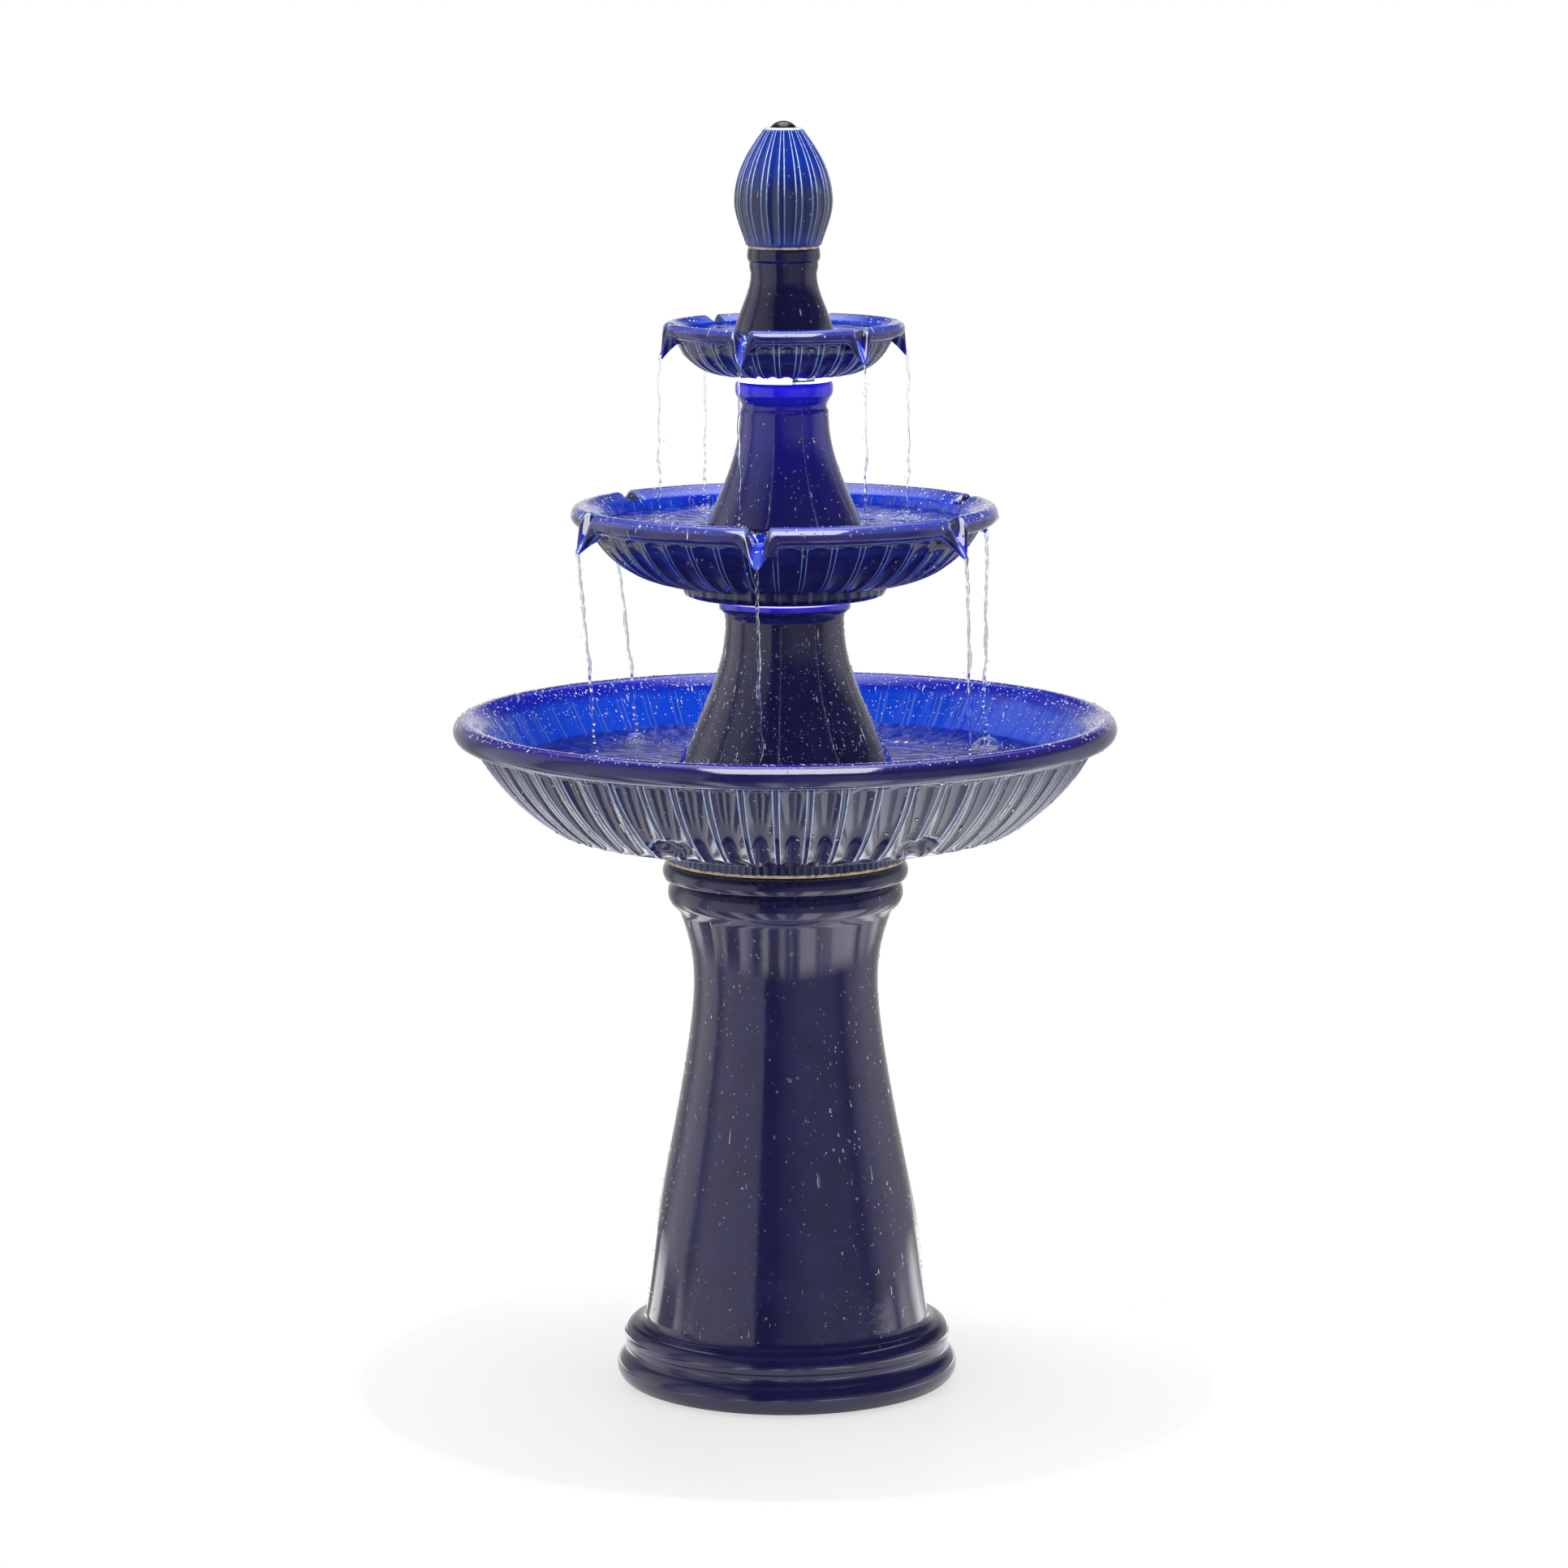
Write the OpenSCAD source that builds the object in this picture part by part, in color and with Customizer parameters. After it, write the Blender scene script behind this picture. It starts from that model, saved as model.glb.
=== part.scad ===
/* [Pedestal] */
// Height of each rubber foot pad
pad_h = 3; // [2:0.5:6]
// Radius of each rubber foot pad
pad_r = 8; // [5:0.5:9]
// Depth of the pocket that holds a foot pad
pad_pocket = 1.5; // [0.5:0.25:2]
// Number of foot pads
pad_count = 4; // [3:1:8]
// Height of the pedestal casting
pedestal_h = 479.5; // [380:0.5:620]
// Outer radius of the plinth's lower bead
plinth_r = 155.5; // [140:0.5:190]
// Roundness of the plinth's lower bead
plinth_bead = 14.5; // [10:0.5:17]
// Outer radius of the plinth's upper bead
plinth_step_r = 149; // [138:0.5:180]
// Roundness of the plinth's upper bead
plinth_step_bead = 11; // [7:0.5:13]
// Radius of the pedestal body where it leaves the plinth
shaft_foot_r = 129.5; // [118:0.5:134]
// Radius of the pedestal body at its knee
shaft_knee_r = 119.3; // [105:0.5:125]
// Height of the knee of the pedestal body
shaft_knee_z = 148; // [110:1:180]
// Radius of the pedestal's neck
neck_r = 83.7; // [78:0.5:100]
// Height of the pedestal's neck
neck_z = 370; // [300:1:390]
// Outer radius of the lower bead of the pedestal's cap
cap_bead_r = 106.8; // [98:0.5:120]
// Outer radius of the cap's top ring
cap_r = 111.5; // [104:0.5:125]
// Height of the cap's top ring
cap_ring_h = 18; // [12:0.5:22]
// Height of the whole cap above the pedestal's flare
cap_h = 40; // [34:0.5:50]
// Wall of the pedestal
pedestal_wall = 12; // [8:0.5:16]
// Radius of the opening in the pedestal's cap
cap_hole_r = 82; // [60:0.5:84]
// Width of the cord arch at the back of the plinth
cord_arch_w = 24; // [14:1:40]
// Height of the cord arch at the back of the plinth
cord_arch_h = 18; // [10:1:26]

/* [Basin] */
// Thickness of the gasket between pedestal and basin
gasket_t = 3; // [1.5:0.25:5]
// Radius of the basin's foot ring
basin_foot_r = 110; // [100:0.5:118]
// Height of the basin's foot ring
basin_foot_h = 11; // [7:0.5:15]
// Radius where the basin's underside turns up
basin_knee_r = 207; // [190:1:225]
// Height where the basin's underside turns up
basin_knee_z = 31; // [26:0.5:38]
// Belly radius of the basin's outer side
basin_belly = 196; // [150:1:260]
// Radius of the basin's rim, at the centre of its roll
basin_rim_r = 289.2; // [270:0.5:320]
// Roundness of the basin's rim
basin_roll = 11; // [8:0.5:14]
// Height of the centre of the basin's rim
basin_rim_z = 119.7; // [105:0.5:140]
// Width of the basin's inner ledge beside the rim
basin_lip = 6; // [3:0.5:10]
// Thickness of the basin's floor
basin_floor = 28; // [22:0.5:32]
// Radius of the flat part of the basin's floor
basin_floor_r = 131; // [128:0.5:140]
// Wall of the basin
basin_wall = 15; // [10:0.5:18]
// Number of flutes round the basin
basin_flutes = 58; // [30:1:64]
// Share of each flute's pitch that its fillet takes on the basin
basin_share = 0.19; // [0.12:0.01:0.4]
// Height of the fillets between the basin's flutes
fillet_h = 1.4; // [0.8:0.1:2]
// Radius of the ball that hollows each hand grip under the basin
grip_r = 24; // [18:0.5:30]
// Depth of each hand grip
grip_depth = 8.5; // [5:0.5:9.5]
// Radius of the bung in the basin's floor
bung_r = 12; // [9:0.5:14]
// Distance of the bung from the axis
bung_y = 63; // [58:0.5:64]

/* [Lower stem] */
// Height of the lower stem
lower_stem_h = 210.5; // [181:0.5:251]
// Radius of the lower stem's foot
lower_foot_r = 122.8; // [116:0.1:127]
// Radius of the lower stem's neck
lower_neck_r = 53.4; // [50:0.5:60]
// Radius of the lower stem's collar
lower_collar_r = 59.6; // [56:0.5:66]
// Height of the lower stem's collar
lower_collar_h = 18.5; // [14:0.5:24]
// Wall of the stems
stem_wall = 9; // [7:0.5:11]
// Thickness of the deck that closes each stem
deck_t = 9; // [6:0.5:12]
// Width of the water arches in the lower stem's foot
intake_arch_w = 30; // [18:1:40]
// Height of the water arches in the lower stem's foot
intake_arch_h = 20; // [20:1:30]

/* [Middle bowl] */
// Radius of the middle bowl's foot
mid_foot_r = 92; // [86:0.5:96]
// Height of the middle bowl's foot
mid_foot_h = 13; // [11:0.5:16]
// Depth of the pocket under the middle bowl
mid_pocket = 5; // [3:0.5:7]
// Belly radius of the middle bowl's outer side
mid_belly = 90.7; // [75:0.5:120]
// Radius of the middle bowl's rim, at the centre of its roll
mid_rim_r = 183.5; // [172:0.5:200]
// Roundness of the middle bowl's rim
mid_roll = 8.8; // [6.5:0.1:10.5]
// Height of the centre of the middle bowl's rim
mid_rim_z = 73.5; // [66:0.5:84]
// Width of the middle bowl's inner ledge
mid_lip = 8; // [4:0.5:10]
// Thickness of the middle bowl's floor
mid_floor = 25; // [20:0.5:28]
// Number of flutes round the middle bowl
mid_flutes = 42; // [24:1:48]
// Share of each flute's pitch that its fillet takes on the middle bowl
mid_share = 0.165; // [0.12:0.005:0.4]
// Radius that the middle bowl's spouts reach
mid_spout_r = 200; // [196:0.5:215]
// Height of the tips of the middle bowl's spouts
mid_spout_z = 46.5; // [38:0.5:54]
// Width of the middle bowl's spouts
mid_spout_w = 31; // [24:0.5:38]

/* [Middle stem] */
// Height of the middle stem
mid_stem_h = 168.5; // [140:0.5:200]
// Radius of the middle stem's foot
mid_stem_foot_r = 86; // [78:0.5:90]
// Radius of the middle stem's straight neck
mid_neck_r = 39.9; // [37:0.1:44]
// Radius of the middle stem's collar
mid_collar_r = 44; // [41.5:0.1:48]
// Height of the middle stem's collar with its groove
mid_collar_h = 26.5; // [23:0.5:30]

/* [Top bowl] */
// Radius of the flat bottom of the top bowl
top_foot_r = 49.5; // [46:0.5:54]
// Belly radius of the top bowl's outer side
top_belly = 46.5; // [38:0.5:60]
// Radius of the top bowl's rim, at the centre of its roll
top_rim_r = 102.1; // [94:0.1:112]
// Roundness of the top bowl's rim
top_roll = 6.4; // [5:0.1:7.5]
// Height of the centre of the top bowl's rim
top_rim_z = 40; // [36:0.5:46]
// Width of the top bowl's inner ledge
top_lip = 7; // [3:0.5:9]
// Thickness of the top bowl's floor
top_floor = 9; // [7:0.5:12]
// Number of flutes round the top bowl
top_flutes = 30; // [20:1:36]
// Share of each flute's pitch that its fillet takes on the top bowl
top_share = 0.235; // [0.12:0.005:0.4]
// Radius that the top bowl's spouts reach
top_spout_r = 111.5; // [110:0.5:122]
// Height of the tips of the top bowl's spouts
top_spout_z = 14.5; // [8:0.5:20]
// Width of the top bowl's spouts
top_spout_w = 20; // [15:0.5:26]
// Number of spouts on each bowl
spout_count = 6; // [3:1:8]

/* [Top stem and finial] */
// Height of the top stem
top_stem_h = 103; // [86:0.5:130]
// Radius of the top stem's foot
top_stem_foot_r = 49; // [44:0.5:50]
// Radius of the top stem's neck
top_neck_r = 29.6; // [27:0.1:33]
// Radius of the top stem's bead
top_bead_r = 32.8; // [31:0.1:36]
// Height of the top stem's collar
top_collar_h = 23; // [18:0.5:30]
// Height of the finial
finial_h = 106.5; // [90:0.5:130]
// Widest radius of the finial
finial_r = 43.3; // [40:0.1:52]
// Height of the widest part of the finial
finial_waist_z = 41; // [34:0.5:50]
// Radius of the finial's base
finial_base_r = 32.3; // [31:0.1:36]
// Radius of the finial's top edge
finial_top_r = 15.4; // [14.5:0.1:20]
// Wall of the finial
finial_wall = 6; // [4.5:0.5:8]
// Number of flutes round the finial
finial_flutes = 17; // [12:1:24]
// Share of each flute's pitch that its fillet takes on the finial
finial_share = 0.34; // [0.2:0.01:0.5]

/* [Lighting] */
// Height of the lower light ring
lower_light_h = 7.5; // [6.5:0.5:9]
// Radius of the lower light ring
lower_light_r = 56; // [54:0.5:56.5]
// Height of the upper light ring
upper_light_h = 7.5; // [6.5:0.5:10]
// Radius of the upper light ring
upper_light_r = 42; // [41:0.1:42.5]
// Angle that the upper light ring leaves open
upper_light_gap = 36; // [0:1:60]
// Number of lamps in each light ring
lamp_count = 6; // [3:1:8]
// Side of one lamp
lamp_w = 5; // [3:0.5:6]
// Thickness of the circuit boards
board_t = 1.6; // [1:0.2:2]

/* [Water line] */
// Outer radius of the riser hose
hose_r = 10.5; // [9:0.1:11]
// Wall of the riser hose
hose_wall = 2.3; // [1.5:0.1:3]
// Radius of the domed nozzle cap
nozzle_r = 11.8; // [11.5:0.1:12]
// Height of the nozzle's dome
nozzle_dome = 5.9; // [3:0.1:8]
// Radius of the jet hole in the nozzle
jet_r = 2.5; // [1.5:0.1:4]
// Radius of the lighting lead
lead_r = 2; // [1.5:0.1:2.5]
// Distance of the lighting lead from the axis
lead_y = 18; // [17:0.5:19]

/* [Pump] */
// Length of the pump's motor block
motor_l = 50; // [44:0.5:56]
// Width and height of the pump
pump_w = 53; // [50:0.5:58]
// Height of each suction cup
cup_h = 10; // [6:0.5:14]
// Radius of each suction cup
cup_r = 9; // [6:0.5:11]
// Depth of the strainer cover
strainer_d = 30; // [22:0.5:36]
// Radius of the impeller
impeller_r = 16; // [12:0.5:17]
// Number of impeller blades
blade_count = 6; // [3:1:8]
// Radius of the impeller's shaft
shaft_r = 1.5; // [1:0.1:2]
// Radius of the rotor magnet
magnet_r = 9; // [7:0.1:10]
// Radius of the flow dial
dial_r = 11; // [8:0.5:14]

/* [Hidden] */

$fn = 120;
small_fn = 48;
glaze = "#2a2a66";
deep_glaze = "#1d1d4a";
rubber = "#1c1c1e";
running = 0.05;   // radial clearance of a turning fit
slip = 0.3;       // clearance of a loose fit
eps = 0.01;

// Heights at which the stacked pieces stand
pedestal_z = pad_h - pad_pocket;
gasket_z = pedestal_z + pedestal_h;
basin_z = gasket_z + gasket_t;
lower_stem_z = basin_z + basin_floor;
lower_light_z = lower_stem_z + lower_stem_h;
mid_bowl_z = lower_light_z + lower_light_h - mid_pocket;
mid_stem_z = mid_bowl_z + mid_floor;
upper_light_z = mid_stem_z + mid_stem_h;
top_bowl_z = upper_light_z + upper_light_h;
top_stem_z = top_bowl_z + top_floor;
finial_z = top_stem_z + top_stem_h;
nozzle_z = finial_z + finial_h;

// Outline helpers: every point is [radius, height]
function arc(c, r, a0, a1, n) = [for (i = [0:n]) let (a = a0 + (a1 - a0) * i / n) c + r * [cos(a), sin(a)]];
function bezier(a, b, c, d, n) =
    [for (i = [0:n]) let (t = i / n, s = 1 - t) s^3 * a + 3 * s^2 * t * b + 3 * s * t^2 * c + t^3 * d];
function reversed(p) = [for (i = [len(p) - 1:-1:0]) p[i]];
function middle(p) = [for (i = [1:len(p) - 2]) p[i]];
// Arc of radius r from p up to q that bulges down and away from the axis
function belly_arc(p, q, r, n) =
    let (h = (q - p) / 2, l = norm(h), m = (p + q) / 2,
         c = m + sqrt(r * r - l * l) / l * [-h[1], h[0]],
         a0 = atan2(p[1] - c[1], p[0] - c[0]), a1 = atan2(q[1] - c[1], q[0] - c[0]))
    arc(c, r, a0, a1, n);
// A path moved sideways by d, to its right as it is walked
function shifted(p, d) =
    [for (i = [0:len(p) - 1])
        let (v = p[min(i + 1, len(p) - 1)] - p[max(i - 1, 0)]) p[i] + d / norm(v) * [v[1], -v[0]]];
// A path whose first and last stretches are made longer, or shorter where the length is negative
function stretched(p, before, after) =
    let (n = len(p) - 1, a = p[0] - p[1], b = p[n] - p[n - 1])
    concat([p[0] + before / norm(a) * a], middle(p), [p[n] + after / norm(b) * b]);
// Side of a flared stem, from its neck down to its foot
function flare(neck, foot, pull, belly, lift, n) =
    let (fall = neck[1] - foot[1], spread = foot[0] - neck[0])
    bezier(neck, neck - [0, pull * fall], [neck[0] + belly * spread, foot[1] + lift * fall], foot, n);

module ring(r_out, r_in, h) {
    difference() {
        cylinder(r = r_out, h = h);
        translate([0, 0, -1]) cylinder(r = r_in, h = h + 2);
    }
}

// Copies of a thin revolved fillet, spread evenly round the axis from turn degrees past the front
module fillets(count, share, turn, path, proud, sunk) {
    pitch = 360 / count;
    for (i = [0:count - 1])
        rotate([0, 0, -90 + turn + i * pitch - share * pitch / 2])
            rotate_extrude(angle = share * pitch)
                polygon(concat(shifted(path, proud), reversed(shifted(path, -sunk))));
}

module at_pattern(count, r, phase = 0)
    for (i = [0:count - 1]) rotate([0, 0, phase + i * 360 / count]) translate([r, 0, 0]) children();

// A route with each inner corner rounded off over a length of bend
function rounded_route(p, bend) = concat([p[0]],
    [for (i = [1:len(p) - 2])
        let (a = p[i] + bend * (p[i - 1] - p[i]) / norm(p[i - 1] - p[i]),
             b = p[i] + bend * (p[i + 1] - p[i]) / norm(p[i + 1] - p[i]))
        for (t = [0:0.25:1]) (1 - t) * (1 - t) * a + 2 * t * (1 - t) * p[i] + t * t * b],
    [p[len(p) - 1]]);

// Unit headings along a path, and a side vector carried along them without twist
function headings(p) =
    [for (i = [0:len(p) - 1]) let (v = p[min(i + 1, len(p) - 1)] - p[max(i - 1, 0)]) v / norm(v)];
function carried(d, u, i = 0) = i == len(d) ? [] :
    let (a = u - (u * d[i]) * d[i], side = a / norm(a)) concat([side], carried(d, side, i + 1));

// A round lead swept along a route, with flat ends
module wire(route, r, sides = 10) {
    p = rounded_route(route, 3 * r);
    last = len(p) - 1;
    d = headings(p);
    u = carried(d, [1, 0.2, 0.1]);
    rings = [for (i = [0:last], k = [0:sides - 1])
        let (a = k * 360 / sides) p[i] + r * (cos(a) * u[i] + sin(a) * cross(d[i], u[i]))];
    polyhedron(rings, concat(
        [[for (k = [0:sides - 1]) k]],
        [for (i = [0:last - 1], k = [0:sides - 1])
            let (n = (k + 1) % sides, b = i * sides) [b + n, b + k, b + sides + k, b + sides + n]],
        [[for (k = [sides - 1:-1:0]) last * sides + k]]));
}

module rounded_block(l, w, h, r) {
    linear_extrude(h) {
        square([l, w - 2 * r], center = true);
        square([l - 2 * r, w], center = true);
        for (x = [-1, 1], y = [-1, 1])
            translate([x * (l / 2 - r), y * (w / 2 - r)]) circle(r = r, $fn = small_fn);
    }
}

// ---- Pedestal ----
plinth_centre_r = plinth_r - plinth_bead;
pad_ring_r = (shaft_foot_r - pedestal_wall + plinth_centre_r) / 2;
shaft_foot_z = 2 * plinth_bead + 2 * plinth_step_bead + 6;
cap_z = pedestal_h - cap_h;
cap_bead = cap_h - cap_ring_h - 6;
cap_ring_bead = cap_ring_h / 2 + 2;
pedestal_flare = flare([neck_r, neck_z], [shaft_knee_r, shaft_knee_z], 0.243, 0.809, 0.18, 10);
pedestal_foot = bezier([shaft_knee_r, shaft_knee_z], [shaft_knee_r + 4, shaft_knee_z - 30],
    [shaft_foot_r - 4, shaft_foot_z + 32], [shaft_foot_r, shaft_foot_z], 4);
pedestal_rise = bezier([neck_r, neck_z], [neck_r, neck_z + 0.4 * (cap_z - neck_z)],
    [neck_r + 4.5, neck_z + 0.63 * (cap_z - neck_z)], [cap_bead_r - 9, cap_z], 6);

module pedestal_section() {
    polygon(concat(
        [[shaft_foot_r - pedestal_wall, 0], [plinth_centre_r, 0], [plinth_centre_r, shaft_foot_z]],
        reversed(pedestal_foot), middle(reversed(pedestal_flare)), pedestal_rise,
        [[cap_bead_r - 9, pedestal_h - 1], [cap_hole_r, pedestal_h - 1]],
        [[cap_hole_r, cap_z + 4]],
        reversed([for (p = pedestal_rise) [min(p[0] - pedestal_wall, cap_hole_r), p[1]]]),
        [for (p = middle(pedestal_flare)) p - [pedestal_wall, 0]],
        [for (p = pedestal_foot) p - [pedestal_wall, 0]]));
    translate([plinth_centre_r, plinth_bead]) circle(r = plinth_bead, $fn = small_fn);
    translate([plinth_step_r - plinth_step_bead, 2 * plinth_bead + plinth_step_bead + 3])
        circle(r = plinth_step_bead, $fn = small_fn);
    intersection() {
        union() {
            translate([cap_bead_r - cap_bead, pedestal_h - cap_ring_h - cap_bead / 2 - 1])
                circle(r = cap_bead, $fn = small_fn);
            translate([cap_r - cap_ring_bead, pedestal_h - cap_ring_h / 2 + 2])
                circle(r = cap_ring_bead, $fn = small_fn);
        }
        translate([cap_hole_r, cap_z - 4]) square([cap_r, cap_h + 4]);
    }
}

module pedestal() {
    color(glaze) translate([0, 0, pedestal_z]) difference() {
        rotate_extrude() pedestal_section();
        at_pattern(pad_count, pad_ring_r, 45)
            translate([0, 0, -1]) cylinder(r = pad_r + slip, h = pad_pocket + 1, $fn = small_fn);
        translate([0, 0, -eps]) rotate([-90, 0, 0]) linear_extrude(plinth_r + 1) {
            translate([-cord_arch_w / 2, -cord_arch_h + cord_arch_w / 2])
                square([cord_arch_w, cord_arch_h - cord_arch_w / 2]);
            translate([0, -cord_arch_h + cord_arch_w / 2]) circle(d = cord_arch_w, $fn = small_fn);
        }
    }
}

module foot_pad(i) {
    color(rubber) rotate([0, 0, 45 + (i - 1) * 360 / pad_count])
        translate([pad_ring_r, 0, 0]) cylinder(r = pad_r, h = pad_h, $fn = small_fn);
}

module pedestal_gasket()
    color(rubber) translate([0, 0, gasket_z]) ring(basin_foot_r - 5, cap_hole_r + 4, gasket_t);

// ---- Basin ----
basin_under = [basin_rim_r - 0.75 * basin_roll, basin_rim_z - basin_roll];
basin_outside = concat([[basin_foot_r, basin_foot_h]],
    belly_arc([basin_knee_r, basin_knee_z], basin_under, basin_belly, 5));
basin_inside = belly_arc([basin_knee_r - 7, basin_knee_z + basin_wall - 2],
    [basin_rim_r - basin_roll - basin_lip, basin_rim_z], basin_belly - basin_wall, 5);

module basin_section() {
    polygon(concat([[0, 0], [basin_foot_r, 0]], basin_outside,
        [[basin_rim_r, basin_rim_z], [basin_rim_r - 0.7 * basin_roll, basin_rim_z + 0.7 * basin_roll]],
        reversed(basin_inside), [[basin_floor_r, basin_floor], [0, basin_floor]]));
    translate([basin_rim_r, basin_rim_z]) circle(r = basin_roll, $fn = small_fn);
}

// The inner wall's fillets start about halfway up, where the water ends
basin_inner_fillet = reversed([for (i = [3:5]) basin_inside[i]]);
basin_turn = -1.7;
grip_turns = [-26, 31.5, 154, 211.5];
grip_centre = shifted(basin_outside, grip_r - grip_depth)[2];

module basin() {
    color(glaze) translate([0, 0, basin_z]) difference() {
        union() {
            rotate_extrude() basin_section();
            fillets(basin_flutes, basin_share, basin_turn,
                stretched(basin_outside, 6, basin_roll / 2), fillet_h, 3);
            fillets(basin_flutes, basin_share, basin_turn,
                stretched(basin_inner_fillet, -3, -2), fillet_h - 0.4, 2);
        }
        for (a = grip_turns) rotate([0, 0, a - 90])
            translate([grip_centre[0], 0, grip_centre[1]]) sphere(r = grip_r);
        translate([0, bung_y, -1]) cylinder(r = bung_r, h = basin_floor + 2, $fn = small_fn);
    }
}

bung_hole_x = 5;

module cord_bung() {
    color(rubber) translate([0, bung_y, basin_z]) difference() {
        union() {
            cylinder(r = bung_r, h = basin_floor, $fn = small_fn);
            translate([0, 0, basin_floor]) cylinder(r = bung_r + 3, h = 3, $fn = small_fn);
        }
        for (side = [-1, 1]) translate([side * bung_hole_x, 0, basin_floor - 10 - slip])
            cylinder(r = lead_r, h = 20, $fn = small_fn);
    }
}

// ---- Stems ----
module deck_holes(h) {
    translate([0, 0, -1]) cylinder(r = hose_r + 0.5, h = h + 2, $fn = small_fn);
    translate([0, lead_y, -1]) cylinder(r = lead_r + 0.5, h = h + 2, $fn = small_fn);
}

lower_neck_z = lower_stem_h - lower_collar_h - 2;
lower_side = flare([lower_neck_r, lower_neck_z], [lower_foot_r, 0], 0.314, 0.54, 0.462, 10);

module lower_stem() {
    collar_z = lower_stem_h - lower_collar_h;
    color(deep_glaze) translate([0, 0, lower_stem_z]) difference() {
        rotate_extrude() polygon(concat(
            reversed(lower_side),
            [[lower_neck_r, collar_z], [lower_neck_r + 0.6, collar_z + 4]],
            bezier([lower_collar_r - 5, collar_z + 7], [lower_collar_r - 1.5, collar_z + 8],
                [lower_collar_r, collar_z + 11], [lower_collar_r, collar_z + 14], 3),
            [[lower_collar_r - 1, lower_stem_h], [0, lower_stem_h], [0, lower_stem_h - deck_t]],
            [[lower_neck_r - stem_wall - 4, lower_stem_h - deck_t]],
            [for (p = lower_side) p - [stem_wall, 0]]));
        translate([0, 0, lower_stem_h - deck_t]) deck_holes(deck_t);
        for (a = [45:90:315]) rotate([0, 0, a]) rotate([90, 0, 90]) linear_extrude(lower_foot_r + 1) {
            translate([-intake_arch_w / 2, -1])
                square([intake_arch_w, intake_arch_h - intake_arch_w / 2 + 1]);
            translate([0, intake_arch_h - intake_arch_w / 2]) circle(d = intake_arch_w, $fn = small_fn);
        }
    }
}

mid_neck_z = mid_stem_h - mid_collar_h - 3;
mid_side = flare([mid_neck_r, mid_neck_z], [mid_stem_foot_r, 0], 0.353, 0.653, 0.36, 9);

module mid_stem() {
    collar_z = mid_stem_h - mid_collar_h;
    color(deep_glaze) translate([0, 0, mid_stem_z]) difference() {
        rotate_extrude() polygon(concat(
            reversed(mid_side),
            [[mid_neck_r, collar_z], [mid_neck_r - 2, collar_z + 3], [mid_neck_r - 2, collar_z + 5]],
            [[mid_neck_r, collar_z + 9], [mid_collar_r - 2.6, collar_z + 14], [mid_collar_r, collar_z + 18]],
            [[mid_collar_r, collar_z + 21.5], [mid_collar_r - 2, mid_stem_h], [0, mid_stem_h]],
            [[0, mid_stem_h - deck_t], [mid_neck_r - stem_wall - 3, mid_stem_h - deck_t]],
            [for (p = mid_side) p - [stem_wall, 0]]));
        translate([0, 0, mid_stem_h - deck_t]) deck_holes(deck_t);
    }
}

top_neck_z = top_stem_h - top_collar_h;
top_side = flare([top_neck_r, top_neck_z], [top_stem_foot_r, 0], 0.2875, 0.877, 0.5375, 8);
seat_lip_r = finial_base_r - finial_wall - slip - 1;

module top_stem() {
    color(deep_glaze) translate([0, 0, top_stem_z]) difference() {
        rotate_extrude() polygon(concat(
            reversed(top_side),
            [[top_neck_r + 1.1, top_neck_z + 4.5], [top_neck_r + 1.4, top_neck_z + 9]],
            [[top_bead_r - 0.6, top_neck_z + 12.5], [top_bead_r, top_neck_z + 15.5]],
            [[top_bead_r - 0.4, top_neck_z + 19.5], [top_bead_r - 1.2, top_stem_h]],
            [[seat_lip_r, top_stem_h], [seat_lip_r, top_stem_h + 3], [0, top_stem_h + 3]],
            [[0, top_stem_h - deck_t]],
            [[top_neck_r - stem_wall, top_stem_h - deck_t - 6]],
            [for (p = top_side) p - [stem_wall, 0]]));
        translate([0, 0, top_stem_h - deck_t - 8])
            cylinder(r = hose_r + 0.5, h = deck_t + 12, $fn = small_fn);
    }
}

// ---- Bowls with spouts ----
// A solid whose side view and front view are both given, both as [across, up]
module two_view_solid(side, front, reach, width) {
    intersection() {
        rotate([90, 0, 0]) linear_extrude(width, center = true) polygon(side);
        rotate([90, 0, 90]) linear_extrude(reach) polygon(front);
    }
}

module spout_body(rim_r, roll, rim_z, tip, w) {
    two_view_solid(
        [[rim_r - roll, rim_z - 1.7 * roll], [rim_r - 0.6 * roll, rim_z + 0.8 * roll],
         [rim_r + 0.2 * roll, rim_z + 0.95 * roll], [tip[0] - 0.45 * roll, rim_z - 0.5 * roll],
         [tip[0], tip[1] + 0.4 * roll], [tip[0] - 0.3 * roll, tip[1]],
         [rim_r + 0.3 * roll, rim_z - 1.9 * roll]],
        [[-w / 2, rim_z + roll], [-0.45 * w, rim_z - 1.2 * roll], [-0.14 * w, tip[1]],
         [0.14 * w, tip[1]], [0.45 * w, rim_z - 1.2 * roll], [w / 2, rim_z + roll]],
        tip[0] + 1, w);
}

module spout_channel(rim_r, roll, rim_z, tip, w, sill) {
    top = rim_z + 2 * roll;
    two_view_solid(
        [[rim_r - 3 * roll, sill], [rim_r - 0.3 * roll, sill], [rim_r + 0.9 * roll, sill - 0.9 * roll],
         [tip[0] - 0.2 * roll, tip[1] - 1], [tip[0] + roll, tip[1] - 1], [tip[0] + roll, top],
         [rim_r - 3 * roll, top]],
        [[-0.42 * w, top], [-0.27 * w, sill - 1], [-0.07 * w, tip[1] - 2],
         [0.07 * w, tip[1] - 2], [0.27 * w, sill - 1], [0.42 * w, top]],
        tip[0] + roll + 1, w);
}

module bowl_section(outside, inside, rim_r, roll, rim_z) {
    polygon(concat([[0, 0]], outside,
        [[rim_r, rim_z], [rim_r - 0.7 * roll, rim_z + 0.7 * roll]],
        reversed(inside), [[0, inside[0][1]]]));
    translate([rim_r, rim_z]) circle(r = roll, $fn = small_fn);
}

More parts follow.
